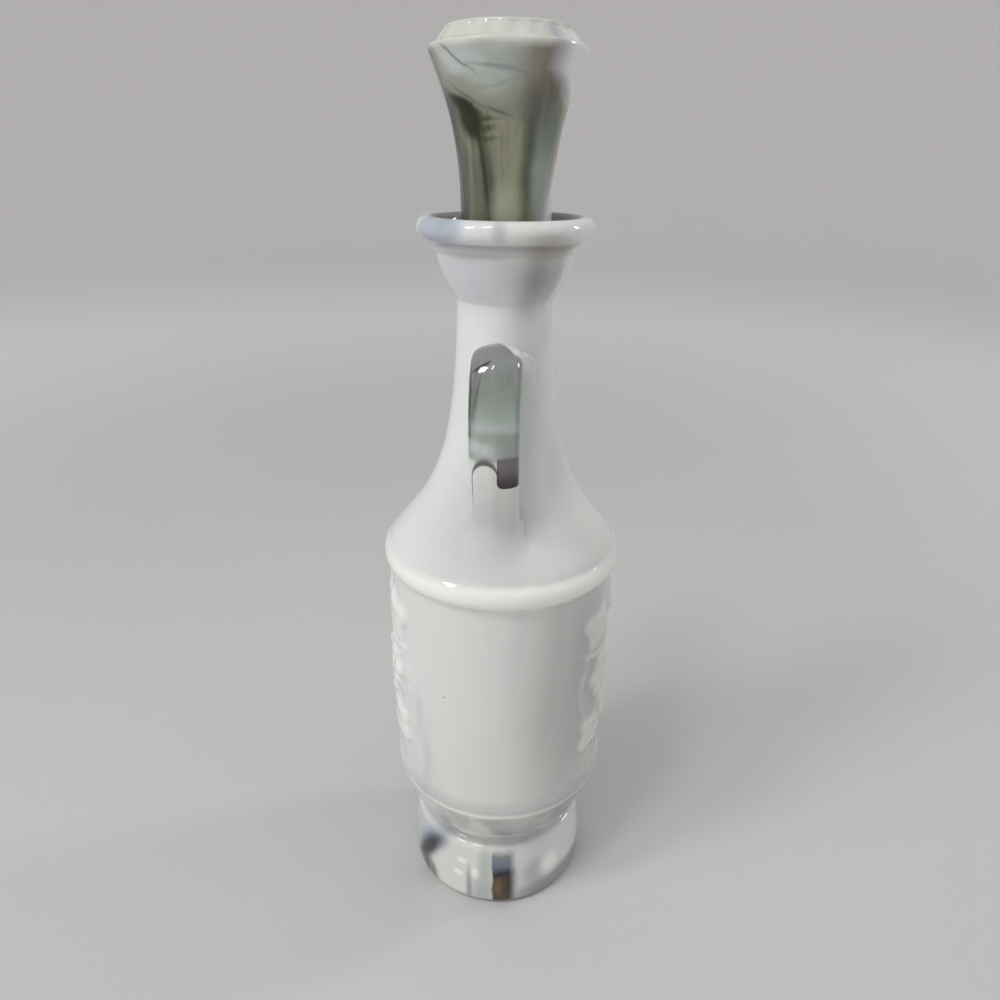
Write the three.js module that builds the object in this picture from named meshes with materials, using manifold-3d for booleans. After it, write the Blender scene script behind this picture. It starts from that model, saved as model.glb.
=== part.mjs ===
// Stoppered glass liquor decanter: a footed bottle with a funnel mouth, a strap handle at its neck,
// and a flared hollow stopper whose shank wears a cork sleeve.
// Millimetres, +Z up. The origin is the centre of the base, on the surface the bottle stands on.
// The handle points along -Y.

import * as THREE from "three";
import { mergeVertices } from "three/addons/utils/BufferGeometryUtils.js";
import Module from "manifold-3d";

const wasm = await Module();
wasm.setup();

// Foot
const footRadius = 39.5;
const footTopRadius = 37.4;
const footHeight = 32.3;
const footEdgeRound = 2.4;
const baseEdgeRound = 4.0;
const standingRingWidth = 5.0;
const kickHeight = 5.0;

// Waist and barrel
const waistRadius = 32.4;
const taperHeight = 25.0;
const taperBulge = 3.0;
const lowerBeadHeight = 7.0;
const lowerBeadProud = 1.3;
const barrelRadius = 44.2;
const barrelHeight = 94.3;
const upperBeadHeight = 8.8;
const upperBeadProud = 2.45;

// Raised vine on the barrel's two flanks. Across runs along the girth from the flank's middle, negative
// towards the handle, and up runs from the vine's middle height. A leaf's tip points at an angle in degrees,
// from across towards up.
const vineRise = 49.7;
const reliefSink = 1.0;
const stemRun = 58.0;
const stemRise = 15.5;
const stemWave = 4.0;
const stemWaveLength = 66.0;
const stemWidth = 3.4;
const stemProud = 1.5;
const leafProud = 1.9;
const leafBevel = 2.2;
const leafBroadness = 0.64;
const leafPointedness = 0.18;
const leafLobes = 5;
const leafLobeDepth = 0.14;
const leaves = [
  { across: -18.5, up: 24.0, length: 18.0, tip: 155 },
  { across: 1.0, up: 25.5, length: 16.0, tip: 85 },
  { across: 19.0, up: 22.5, length: 17.0, tip: 20 },
  { across: -19.5, up: -25.0, length: 17.0, tip: 220 },
  { across: 1.0, up: -26.0, length: 16.0, tip: 275 },
  { across: 22.5, up: -28.0, length: 13.5, tip: 320 },
];
const grapeRadius = 4.3;
const grapeProud = 2.35;
const grapeSpacing = 7.7;
const grapeRowStep = 6.6;
const bunchRows = [2, 3, 2, 1];
const bunches = [
  { across: -14.0, up: 6.0 },
  { across: 15.5, up: 1.0 },
];

// Shoulder and neck
const shoulderLipHeight = 1.6;
const shoulderInset = 0.4;
const shoulderHeight = 91.5;
const shoulderSlope = THREE.MathUtils.degToRad(54.4);
const shoulderPull = 20.6;
const neckRadius = 16.9;
const neckSpread = 0.85;
const neckPull = 67.8;

// Funnel cup and rolled rim
const creaseDepth = 0.5;
const cupHeight = 16.6;
const cupTopRadius = 24.1;
const cupBelly = 1.6;
const collarHeight = 3.4;
const collarProud = 1.8;
const rimRadius = 30.4;
const rimWidth = 7.4;
const rimHeight = 7.6;

// Glass thickness and the bore that the stopper closes
const wall = 3.8;
const bottomThickness = 7.0;
const footWall = 7.0;
const floorRound = 5.0;
const boreRadius = 12.5;
const boreLength = 30.0;
const boreRunout = 8.0;

// Strap handle
const handleWidth = 16.8;
const handleCrown = 4.6;
const handleInnerCrown = 3.4;
const handleSquareness = 2.5;
const handleReach = 42.5;
const handleDrop = 22.0;
const handleArch = 26.0;
const handleLandingRadius = 30.0;
const handleLandingRise = 26.0;
const handleRootWidth = 20.8;
const handleRootThickness = 12.5;
const handleRootLength = 11.0;

// Stopper
const stopperBodyRadius = 15.2;
const stopperEdgeRadius = 24.9;
const stopperEdgeRise = 47.7;
const stopperEdgeRound = 0.9;
const stopperBodyPull = 22.0;
const stopperFlarePull = 13.4;
const stopperFlareSlope = THREE.MathUtils.degToRad(66);
const crownHeight = 5.8;
const crownFootRadius = 23.2;
const crownTopRadius = 20.0;
const crownRound = 0.9;
const crownFlutes = 24;
const crownFluteDepth = 0.55;
const shankLength = 24.0;
const stopperWall = 4.2;
const stopperCavityTop = 30.0;
const shankBoreRadius = 4.6;

// Cork sleeve on the stopper's shank
const corkThickness = 2.9;
const corkLength = 21.5;
const corkTaper = 0.5;
const corkChamfer = 0.8;

// Clearance that neighbouring pieces keep where they meet
const fitGap = 0.3;

// Facets
const bottleSides = 40;
const stopperSides = 2 * crownFlutes;
const sleeveSides = 40;
const handleStations = 30;
const handleSides = 20;
const leafPoints = 3 * leafLobes;
const grapeSides = 6;
const grapeLifts = [-25, 22, 68];
const stemStations = 12;

// Heights of the bottle, worked up from the base
const taperTopZ = footHeight + taperHeight;
const barrelBottomZ = taperTopZ + lowerBeadHeight;
const barrelTopZ = barrelBottomZ + barrelHeight;
const grooveZ = barrelTopZ + upperBeadHeight;
const shoulderZ = grooveZ + shoulderLipHeight;
const neckTopZ = grooveZ + shoulderHeight;
const cupTopZ = neckTopZ + cupHeight;
const rimBottomZ = cupTopZ + collarHeight;
const rimTopZ = rimBottomZ + rimHeight;
const rimMidZ = rimBottomZ + rimHeight / 2;

const vineMiddleZ = barrelBottomZ + vineRise;
const shoulderRadius = barrelRadius - shoulderInset;
const cupBottomRadius = neckRadius - creaseDepth;
const rimTubeRadius = rimRadius - rimWidth / 2;
const mouthRadius = rimRadius - rimWidth;

const at = (radius, height) => new THREE.Vector2(radius, height);

// Points of an ellipse arc in the profile plane; angles in degrees, 0 pointing out from the axis.
function arc(centre, width, height, from, to, steps) {
  const start = THREE.MathUtils.degToRad(from);
  const end = THREE.MathUtils.degToRad(to);
  const curve = new THREE.EllipseCurve(centre.x, centre.y, width, height, start, end, end < start);
  return curve.getPoints(steps);
}

// A profile turned about the Z axis. The profile runs up the outside of the piece.
function revolve(profile, sides) {
  return new THREE.LatheGeometry(profile, sides).rotateX(Math.PI / 2);
}

// The same profile pushed out (or in, when negative) along its normals.
function offsetProfile(profile, distance) {
  return profile.map((point, i) => {
    const before = profile[Math.max(i - 1, 0)];
    const after = profile[Math.min(i + 1, profile.length - 1)];
    const along = after.clone().sub(before).normalize();
    return at(point.x + along.y * distance, point.y - along.x * distance);
  });
}

// A solid that can be joined and cut, from a closed geometry.
function solidOf(geometry) {
  const bare = geometry.clone();
  bare.deleteAttribute("normal");
  bare.deleteAttribute("uv");
  const merged = mergeVertices(bare, 1e-4);
  const triangles = [];
  for (let i = 0; i < merged.index.count; i += 3) {
    const corners = [0, 1, 2].map((k) => merged.index.getX(i + k));
    if (new Set(corners).size === 3) triangles.push(...corners);
  }
  return new wasm.Manifold(
    new wasm.Mesh({
      numProp: 3,
      vertProperties: new Float32Array(merged.attributes.position.array),
      triVerts: new Uint32Array(triangles),
    }),
  );
}

function geometryOf(solid) {
  const mesh = solid.getMesh();
  const geometry = new THREE.BufferGeometry();
  geometry.setAttribute("position", new THREE.BufferAttribute(new Float32Array(mesh.vertProperties), 3));
  geometry.setIndex(new THREE.BufferAttribute(new Uint32Array(mesh.triVerts), 1));
  geometry.computeVertexNormals();
  return geometry;
}

// The sweep of the shoulder up into the neck, from the lip above the groove to the crease under the cup.
function shoulderSweep() {
  const lip = at(shoulderRadius, shoulderZ);
  const crease = at(neckRadius, neckTopZ);
  const lipTangent = at(-Math.cos(shoulderSlope), Math.sin(shoulderSlope)).multiplyScalar(shoulderPull);
  return new THREE.CubicBezierCurve(
    lip,
    lip.clone().add(lipTangent),
    at(neckRadius + neckSpread, neckTopZ - neckPull),
    crease,
  );
}

// Outside of the bottle from the standing ring up to the top of the rim.
function bottleOutside() {
  const footEdge = at(footTopRadius - footEdgeRound, footHeight - footEdgeRound);
  const baseEdge = at(footRadius - baseEdgeRound, baseEdgeRound);
  const taper = new THREE.QuadraticBezierCurve(
    at(waistRadius, footHeight),
    at((waistRadius + barrelRadius) / 2 + taperBulge, footHeight + taperHeight / 2 - taperBulge),
    at(barrelRadius, taperTopZ),
  );
  const lowerBead = at(barrelRadius, taperTopZ + lowerBeadHeight / 2);
  const upperBead = at(barrelRadius, barrelTopZ + upperBeadHeight / 2);
  const cup = new THREE.QuadraticBezierCurve(
    at(cupBottomRadius, neckTopZ),
    at((cupBottomRadius + cupTopRadius) / 2 + cupBelly, neckTopZ + cupHeight / 2 - cupBelly),
    at(cupTopRadius, cupTopZ),
  );
  const collar = at(cupTopRadius, cupTopZ + collarHeight / 2);
  const rim = at(rimTubeRadius, rimMidZ);
  return [
    ...arc(baseEdge, baseEdgeRound, baseEdgeRound, -90, 0, 4),
    ...arc(footEdge, footEdgeRound, footEdgeRound, 0, 90, 4),
    ...taper.getPoints(5),
    ...arc(lowerBead, lowerBeadProud, lowerBeadHeight / 2, -90, 90, 6).slice(1),
    ...arc(upperBead, upperBeadProud, upperBeadHeight / 2, -90, 90, 8),
    ...shoulderSweep().getPoints(14),
    ...cup.getPoints(5),
    ...arc(collar, collarProud, collarHeight / 2, -60, 60, 3),
    ...arc(rim, rimWidth / 2, rimHeight / 2, -90, 90, 8),
  ];
}

// Inside of the bottle, from the rim down the funnel, the bore and the barrel to the floor.
function bottleInside() {
  const rim = at(rimTubeRadius, rimMidZ);
  const floorZ = kickHeight + bottomThickness;
  const boreBottomZ = neckTopZ - boreLength;
  const sweepInside = offsetProfile(shoulderSweep().getPoints(12), -wall)
    .reverse()
    .filter((point) => point.y < boreBottomZ - boreRunout && point.x > boreRadius);
  const footInsideRadius = waistRadius - footWall;
  const floorEdge = at(footInsideRadius - floorRound, floorZ + floorRound);
  return [
    ...arc(rim, rimWidth / 2, rimHeight / 2, 90, 180, 4).slice(1),
    at(boreRadius, neckTopZ),
    at(boreRadius, boreBottomZ),
    ...sweepInside,
    at(barrelRadius - wall, barrelTopZ),
    at(barrelRadius - wall, barrelBottomZ),
    at(footInsideRadius, footHeight),
    ...arc(floorEdge, floorRound, floorRound, 0, -90, 3),
    at(0, floorZ),
  ];
}

function bottleLathe() {
  const ringInside = footRadius - baseEdgeRound - standingRingWidth;
  const underside = arc(at(0, 0), ringInside, kickHeight, 90, 0, 4);
  return revolve([...underside, ...bottleOutside(), ...bottleInside()], bottleSides);
}

// A closed shell through rings of as many points each, with a fan to the middle of its first and last ring.
function shell(rings) {
  const count = rings[0].length;
  const points = rings.flat();
  const faces = [];
  const middle = (ring) => ring.reduce((sum, point) => sum.add(point), new THREE.Vector3()).divideScalar(count);
  points.push(middle(rings[0]), middle(rings[rings.length - 1]));
  const lastRing = count * (rings.length - 1);
  for (let k = 0; k < count; k++) {
    const next = (k + 1) % count;
    for (let row = 0; row < lastRing; row += count) {
      faces.push(row + k, row + next, row + count + k);
      faces.push(row + next, row + count + next, row + count + k);
    }
    faces.push(points.length - 2, next, k);
    faces.push(points.length - 1, lastRing + k, lastRing + next);
  }
  const geometry = new THREE.BufferGeometry().setFromPoints(points);
  geometry.setIndex(faces);
  return geometry;
}

// A place on a flank of the barrel, standing proud of its wall. The flank is 1 towards +X and -1 towards -X.
function onFlank(flank, across, up, proud) {
  const turn = flank * (Math.PI / 2 + across / barrelRadius);
  const radius = barrelRadius + proud;
  return new THREE.Vector3(radius * Math.sin(turn), -radius * Math.cos(turn), vineMiddleZ + up);
}

// A raised form on a flank. Each of its rings is a list of [across, up, proud], from the wall outwards.
function relief(flank, rings) {
  const placed = rings.map((ring) => ring.map((place) => onFlank(flank, ...place)));
  return solidOf(shell(flank > 0 ? placed : placed.map((ring) => ring.reverse())));
}

// A lobed leaf with a bevelled edge and a flat face.
function leafRings({ across, up, length, tip }) {
  const outline = (inset, proud) =>
    Array.from({ length: leafPoints }, (_, k) => {
      const turn = (2 * Math.PI * (k + 0.5)) / leafPoints;
      const body = leafBroadness + leafPointedness * Math.cos(turn);
      const lobe = 1 - leafLobeDepth * (1 - Math.cos(leafLobes * turn));
      const reach = length * body * lobe - inset;
      const towards = turn + THREE.MathUtils.degToRad(tip);
      return [across + reach * Math.cos(towards), up + reach * Math.sin(towards), proud];
    });
  const sunkSpread = (leafBevel * reliefSink) / leafProud;
  return [outline(-sunkSpread, -reliefSink), outline(leafBevel, leafProud)];
}

// One grape, a round dome whose sides run on into the wall.
function grapeRings(across, up) {
  const circle = (lift) =>
    Array.from({ length: grapeSides }, (_, k) => {
      const turn = (2 * Math.PI * k) / grapeSides;
      const reach = grapeRadius * Math.cos(lift);
      return [across + reach * Math.cos(turn), up + reach * Math.sin(turn), grapeProud * Math.sin(lift)];
    });
  return grapeLifts.map((lift) => circle(THREE.MathUtils.degToRad(lift)));
}

function bunchRings(bunch) {
  return bunchRows.flatMap((count, row) =>
    Array.from({ length: count }, (_, k) =>
      grapeRings(bunch.across + (k - (count - 1) / 2) * grapeSpacing, bunch.up - row * grapeRowStep),
    ),
  );
}

// The stem that waves across over the bunches.
function stemRings() {
  return Array.from({ length: stemStations + 1 }, (_, station) => {
    const across = stemRun * (station / stemStations - 0.5);
    const up = stemRise + stemWave * Math.sin((2 * Math.PI * across) / stemWaveLength);
    const half = stemWidth / 2;
    return [
      [across, up - half, -reliefSink],
      [across, up + half, -reliefSink],
      [across, up + half, 0],
      [across, up, stemProud],
      [across, up - half, 0],
    ];
  });
}

// The turned bottle with the vine fused to both flanks.
function bottleGeometry() {
  const forms = [stemRings(), ...leaves.map(leafRings), ...bunches.flatMap(bunchRings)];
  let bottle = solidOf(bottleLathe());
  for (const flank of [1, -1]) {
    for (const rings of forms) bottle = bottle.add(relief(flank, rings));
  }
  return geometryOf(bottle);
}

// The bottle's outer form, filled and grown by the fit gap, for cutting what stands on it.
function bottleCutter() {
  const grown = offsetProfile(bottleOutside(), fitGap);
  const lowest = grown[0].y;
  const highest = grown[grown.length - 1].y;
  return solidOf(revolve([at(0, lowest), ...grown, at(0, highest)], bottleSides));
}

// Height of the shoulder's outside at a given radius.
function shoulderHeightAt(radius) {
  const points = shoulderSweep().getPoints(200);
  return points.find((point) => point.x <= radius).y;
}

// Middle line of the handle, from inside the neck's glass round to inside the shoulder's. It runs on
// straight at both ends, far enough for the whole section to be inside the glass before it is cut.
function handlePath() {
  const rootZ = neckTopZ - handleDrop;
  const landingZ = shoulderHeightAt(handleLandingRadius);
  const reach = handleReach - handleCrown;
  // A cubic's middle is 3/8 of each control and 1/8 of each end, which sets the controls for the reach.
  const start = neckRadius - wall;
  const pull = (8 * reach - start - handleLandingRadius) / 6;
  const arch = new THREE.CubicBezierCurve3(
    new THREE.Vector3(0, -start, rootZ),
    new THREE.Vector3(0, -pull, rootZ + handleArch),
    new THREE.Vector3(0, -pull, landingZ + handleLandingRise),
    new THREE.Vector3(0, -handleLandingRadius, landingZ - wall),
  );
  const neckEnd = arch.v0.clone().addScaledVector(arch.getTangent(0), -handleRootThickness);
  const shoulderEnd = arch.v3.clone().addScaledVector(arch.getTangent(1), handleRootThickness);
  const path = new THREE.CurvePath();
  path.add(new THREE.LineCurve3(neckEnd, arch.v0));
  path.add(arch);
  path.add(new THREE.LineCurve3(arch.v3, shoulderEnd));
  return path;
}

// One point of the strap's crowned section, going round it: how far across it is, and how far out.
function strapPoint(turn, width, thickness) {
  const soft = (value) => Math.sign(value) * Math.abs(value) ** (2 / handleSquareness);
  const across = soft(Math.cos(turn));
  const out = soft(Math.sin(turn));
  const crownShare = (out > 0 ? handleCrown : handleInnerCrown) / (handleCrown + handleInnerCrown);
  return at((across * width) / 2, out * crownShare * thickness);
}

// The strap lofted along the path, spreading and thickening towards both roots.
function strapLoft(path) {
  const length = path.getLength();
  const rings = [];
  for (let station = 0; station <= handleStations; station++) {
    const along = station / handleStations;
    const fromRoot = Math.min(along, 1 - along) * length - handleRootThickness;
    const swell = 1 - THREE.MathUtils.smoothstep(fromRoot, 0, handleRootLength);
    const width = THREE.MathUtils.lerp(handleWidth, handleRootWidth, swell);
    const thickness = THREE.MathUtils.lerp(handleCrown + handleInnerCrown, handleRootThickness, swell);
    const centre = path.getPointAt(along);
    const across = new THREE.Vector3(1, 0, 0);
    const outward = new THREE.Vector3().crossVectors(path.getTangentAt(along), across);
    const ring = [];
    for (let side = 0; side < handleSides; side++) {
      const corner = strapPoint((2 * Math.PI * side) / handleSides, width, thickness);
      ring.push(centre.clone().addScaledVector(across, corner.x).addScaledVector(outward, corner.y));
    }
    rings.push(ring);
  }
  return shell(rings);
}

function handleGeometry() {
  return geometryOf(solidOf(strapLoft(handlePath())).subtract(bottleCutter()));
}

// The funnel's inner cone, on which the stopper's shoulder sits.
const coneRun = (mouthRadius - boreRadius) / (rimMidZ - neckTopZ);
const coneAngle = Math.atan(coneRun);
const seatLift = fitGap / Math.sin(coneAngle);
const coneHeightAt = (radius) => neckTopZ + (radius - boreRadius) / coneRun;

const sleeveRadius = boreRadius - fitGap;
const shankRadius = sleeveRadius - corkThickness - fitGap;
const stopperSeatZ = coneHeightAt(stopperBodyRadius) + seatLift;
const stopperUndersideZ = coneHeightAt(sleeveRadius) + seatLift;
const stopperEdgeZ = rimTopZ + stopperEdgeRise;
const stopperTopZ = stopperEdgeZ + crownHeight;
const shankBottomZ = stopperUndersideZ - shankLength;

// Waisted flare of the stopper, from its body at the funnel up to its widest edge.
function stopperFlare() {
  const foot = at(stopperBodyRadius, rimTopZ);
  const edge = at(stopperEdgeRadius, stopperEdgeZ - stopperEdgeRound);
  const edgeTangent = at(Math.cos(stopperFlareSlope), Math.sin(stopperFlareSlope));
  return new THREE.CubicBezierCurve(
    foot,
    at(stopperBodyRadius, rimTopZ + stopperBodyPull),
    edge.clone().addScaledVector(edgeTangent, -stopperFlarePull),
    edge,
  );
}

function stopperProfile() {
  const flare = stopperFlare().getPoints(10);
  const edge = at(stopperEdgeRadius - stopperEdgeRound, stopperEdgeZ);
  const crownTop = at(crownTopRadius - crownRound, stopperTopZ - crownRound);
  const outside = [
    at(shankBoreRadius, shankBottomZ),
    at(shankRadius, shankBottomZ),
    at(shankRadius, stopperUndersideZ),
    at(sleeveRadius, stopperUndersideZ),
    at(stopperBodyRadius, stopperSeatZ),
    ...flare,
    ...arc(edge, stopperEdgeRound, stopperEdgeRound, 0, 90, 2),
  ];
  const crown = [at(crownFootRadius, stopperEdgeZ + stopperEdgeRound), at(crownTopRadius, crownTop.y)];
  const top = [...arc(crownTop, crownRound, crownRound, 30, 90, 2), at(0, stopperTopZ)];
  const cavity = [
    at(0, rimTopZ + stopperCavityTop),
    ...offsetProfile(flare, -stopperWall)
      .reverse()
      .filter((point) => point.y < rimTopZ + stopperCavityTop),
    at(stopperBodyRadius - stopperWall, stopperSeatZ + stopperWall),
    at(shankBoreRadius, stopperUndersideZ),
    at(shankBoreRadius, shankBottomZ),
  ];
  return { points: [...outside, ...crown, ...top, ...cavity], crownStart: outside.length };
}

// The stopper turned on the lathe, with the crown's two rows drawn in at every other side as flutes.
function stopperGeometry() {
  const { points, crownStart } = stopperProfile();
  const geometry = new THREE.LatheGeometry(points, stopperSides);
  const position = geometry.attributes.position;
  for (let side = 1; side < stopperSides; side += 2) {
    for (const row of [crownStart, crownStart + 1]) {
      const vertex = side * points.length + row;
      const shrink = 1 - crownFluteDepth / points[row].x;
      position.setX(vertex, position.getX(vertex) * shrink);
      position.setZ(vertex, position.getZ(vertex) * shrink);
    }
  }
  return geometry.rotateX(Math.PI / 2);
}

function sleeveGeometry() {
  const topZ = stopperUndersideZ - fitGap;
  const bottomZ = topZ - corkLength;
  const inside = shankRadius + fitGap;
  const outside = [
    at(inside, bottomZ),
    at(sleeveRadius - corkTaper - corkChamfer, bottomZ),
    at(sleeveRadius - corkTaper, bottomZ + corkChamfer),
    at(sleeveRadius, topZ - corkChamfer),
    at(sleeveRadius - corkChamfer, topZ),
    at(inside, topZ),
    at(inside, bottomZ),
  ];
  return revolve(outside, sleeveSides);
}

const opalGlass = new THREE.MeshStandardMaterial({ color: 0xe6e8e6, roughness: 0.08, metalness: 0 });
const slagGlass = new THREE.MeshStandardMaterial({ color: 0x8b9089, roughness: 0.08, metalness: 0 });
const stopperGlass = new THREE.MeshStandardMaterial({ color: 0x7f8279, roughness: 0.08, metalness: 0 });
const cork = new THREE.MeshStandardMaterial({ color: 0xb98a5b, roughness: 0.85, metalness: 0 });

function piece(name, geometry, material) {
  const mesh = new THREE.Mesh(geometry, material);
  mesh.name = name;
  return mesh;
}

const decanter = new THREE.Group();
decanter.add(piece("glass_bottle", bottleGeometry(), opalGlass));
decanter.add(piece("neck_handle", handleGeometry(), slagGlass));

const stopper = new THREE.Group();
stopper.add(piece("glass_stopper", stopperGeometry(), stopperGlass));
stopper.add(piece("cork_sleeve", sleeveGeometry(), cork));
decanter.add(stopper);

export default decanter;
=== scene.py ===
"""Looks of a stoppered liquor decanter in white and marbled milk glass.

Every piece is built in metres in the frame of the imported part: +Z up, the base's centre at the origin and the
handle towards -Y. Sizes below are in millimetres and are turned to metres where a mesh is made.
An angle runs about Z in degrees, from 0 at the handle to 90 on the +X flank.
"""

import math
from collections import namedtuple

import bpy
import numpy as np
from mathutils import Matrix, Vector


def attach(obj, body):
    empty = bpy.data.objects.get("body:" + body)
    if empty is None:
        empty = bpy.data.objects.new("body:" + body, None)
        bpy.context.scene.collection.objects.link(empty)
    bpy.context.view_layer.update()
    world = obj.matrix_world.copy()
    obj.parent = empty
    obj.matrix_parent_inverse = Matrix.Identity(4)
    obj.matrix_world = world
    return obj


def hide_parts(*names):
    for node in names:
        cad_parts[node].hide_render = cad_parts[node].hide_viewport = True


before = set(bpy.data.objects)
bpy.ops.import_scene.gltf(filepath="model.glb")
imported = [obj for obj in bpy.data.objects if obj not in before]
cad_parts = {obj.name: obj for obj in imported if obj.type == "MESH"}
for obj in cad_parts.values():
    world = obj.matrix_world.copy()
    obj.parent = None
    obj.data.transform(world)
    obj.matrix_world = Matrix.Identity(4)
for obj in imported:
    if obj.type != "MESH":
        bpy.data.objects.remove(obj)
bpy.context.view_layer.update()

MM = 0.001

# Foot, waist and barrel
FOOT_RADIUS = 39.5
FOOT_TOP_RADIUS = 37.4
FOOT_HEIGHT = 32.3
FOOT_EDGE_ROUND = 2.4
BASE_EDGE_ROUND = 4.0
STANDING_RING_WIDTH = 5.0
KICK_HEIGHT = 5.0
WAIST_RADIUS = 32.4
TAPER_HEIGHT = 25.0
TAPER_BULGE = 3.0
LOWER_BEAD_HEIGHT = 7.0
LOWER_BEAD_PROUD = 1.3
BARREL_RADIUS = 44.2
BARREL_HEIGHT = 94.3
UPPER_BEAD_HEIGHT = 8.8
UPPER_BEAD_PROUD = 2.45

# Shoulder, neck, cup and rim
SHOULDER_LIP_HEIGHT = 1.6
SHOULDER_INSET = 0.4
SHOULDER_HEIGHT = 91.5
SHOULDER_SLOPE = math.radians(54.4)
SHOULDER_PULL = 20.6
NECK_RADIUS = 16.9
NECK_SPREAD = 0.85
NECK_PULL = 67.8
CREASE_DEPTH = 0.5
CUP_HEIGHT = 16.6
CUP_TOP_RADIUS = 24.1
CUP_BELLY = 1.6
COLLAR_HEIGHT = 3.4
COLLAR_PROUD = 1.8
RIM_RADIUS = 30.4
RIM_WIDTH = 7.4
RIM_HEIGHT = 7.6

# Inside of the bottle
WALL = 3.8
BOTTOM_THICKNESS = 7.0
FOOT_WALL = 7.0
FLOOR_ROUND = 5.0
BORE_RADIUS = 12.5
BORE_LENGTH = 30.0
BORE_RUNOUT = 8.0

# Handle
HANDLE_WIDTH = 16.8
HANDLE_CROWN = 4.6
HANDLE_INNER_CROWN = 3.4
HANDLE_SQUARENESS = 2.5
HANDLE_REACH = 42.5
HANDLE_DROP = 22.0
HANDLE_ARCH = 26.0
HANDLE_LANDING_RADIUS = 30.0
HANDLE_LANDING_RISE = 26.0
HANDLE_RIDGE = 0.5
HANDLE_RIDGE_WIDTH = 4.0
HANDLE_UPPER_FILLET = 4.0
HANDLE_PAD_HALF_WIDTH = 15.5
HANDLE_PAD_RISE = 7.0
HANDLE_PAD_FALL = 12.0
HANDLE_PAD_DROP = 2.0
HANDLE_PAD_SWELL = 1.2
HANDLE_LOWER_FILLET = 10.0
HANDLE_LOWER_SPREAD = 2.4
HANDLE_LOWER_RUNOUT = 9.0
HANDLE_FILLET_STEPS = 14
HANDLE_FILLET_LIFT = 0.04
HANDLE_APRON = ((0.8, -0.02), (1.8, -0.2))
HANDLE_FOOT_DEPTH = 0.6
HANDLE_FOOT_RINGS = (1.0, 0.7, 0.4)
HANDLE_RUN_ON = 14.0
HANDLE_STATIONS = 80
HANDLE_STEP = 0.6

# Stopper and its cork
STOPPER_BODY_RADIUS = 15.2
STOPPER_EDGE_RADIUS = 24.9
STOPPER_EDGE_RISE = 47.7
STOPPER_EDGE_ROUND = 0.9
STOPPER_BODY_PULL = 22.0
STOPPER_FLARE_PULL = 13.4
STOPPER_FLARE_SLOPE = math.radians(66)
CROWN_HEIGHT = 5.8
CROWN_FOOT_RADIUS = 23.2
CROWN_TOP_RADIUS = 20.0
CROWN_ROUND = 0.9
CROWN_FLUTES = 20
COLUMNS_A_FLUTE = 10
CROWN_FLUTE_DEPTH = 0.55
CROWN_BAND_FOOT = 0.5
CROWN_BAND_TOP = 0.4
CROWN_BAND_FADE = 0.8
SHANK_LENGTH = 24.0
STOPPER_WALL = 4.2
STOPPER_CAVITY_TOP = 30.0
SHANK_BORE_RADIUS = 4.6
CORK_THICKNESS = 2.9
CORK_LENGTH = 21.5
CORK_TAPER = 0.5
CORK_CHAMFER = 0.8
CORK_STEP = 3.0
FIT_GAP = 0.3

# How far the glass's corners are melted round
GLASS_MELT = 0.8
WAIST_MELT = 2.0
STOPPER_MELT = 0.45
CORK_MELT = 0.2

# How far a thinned profile may stray
BOTTLE_TOLERANCE = 0.02
SMALL_TOLERANCE = 0.008

# Heights worked up from the base
TAPER_TOP = FOOT_HEIGHT + TAPER_HEIGHT
BARREL_BOTTOM = TAPER_TOP + LOWER_BEAD_HEIGHT
BARREL_TOP = BARREL_BOTTOM + BARREL_HEIGHT
GROOVE = BARREL_TOP + UPPER_BEAD_HEIGHT
NECK_TOP = GROOVE + SHOULDER_HEIGHT
CUP_TOP = NECK_TOP + CUP_HEIGHT
RIM_BOTTOM = CUP_TOP + COLLAR_HEIGHT
RIM_MIDDLE = RIM_BOTTOM + RIM_HEIGHT / 2
RIM_TOP = RIM_BOTTOM + RIM_HEIGHT
RIM_TUBE_RADIUS = RIM_RADIUS - RIM_WIDTH / 2
MOUTH_RADIUS = RIM_RADIUS - RIM_WIDTH

# The stopper's seat on the funnel's inner cone
CONE_RUN = (MOUTH_RADIUS - BORE_RADIUS) / (RIM_MIDDLE - NECK_TOP)
SEAT_LIFT = FIT_GAP / math.sin(math.atan(CONE_RUN))
SLEEVE_RADIUS = BORE_RADIUS - FIT_GAP
SHANK_RADIUS = SLEEVE_RADIUS - CORK_THICKNESS - FIT_GAP
STOPPER_SEAT = NECK_TOP + (STOPPER_BODY_RADIUS - BORE_RADIUS) / CONE_RUN + SEAT_LIFT
STOPPER_UNDERSIDE = NECK_TOP + (SLEEVE_RADIUS - BORE_RADIUS) / CONE_RUN + SEAT_LIFT
STOPPER_EDGE = RIM_TOP + STOPPER_EDGE_RISE
STOPPER_TOP = STOPPER_EDGE + CROWN_HEIGHT
SHANK_BOTTOM = STOPPER_UNDERSIDE - SHANK_LENGTH

# Camera, fitted to the photograph's frame of 1000 by 1000 pixels
FRAME_PIXELS = 1000
FOCAL_PIXELS = 740.6
SENSOR_WIDTH = 36.0
CAMERA_AZIMUTH = math.radians(4.5)
CAMERA_PITCH = math.radians(24.75)
CAMERA_ROLL = math.radians(0.78)
CAMERA_DISTANCE = 265.15
CAMERA_HEIGHT = 303.6
CAMERA_SIDESTEP = -0.8
CAMERA_NEAREST = 10.0


# Profiles

def arc(centre, width, height, start, end, steps=12):
    turns = np.radians(np.linspace(start, end, steps + 1))
    return [(centre[0] + width * math.cos(t), centre[1] + height * math.sin(t)) for t in turns]


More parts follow.
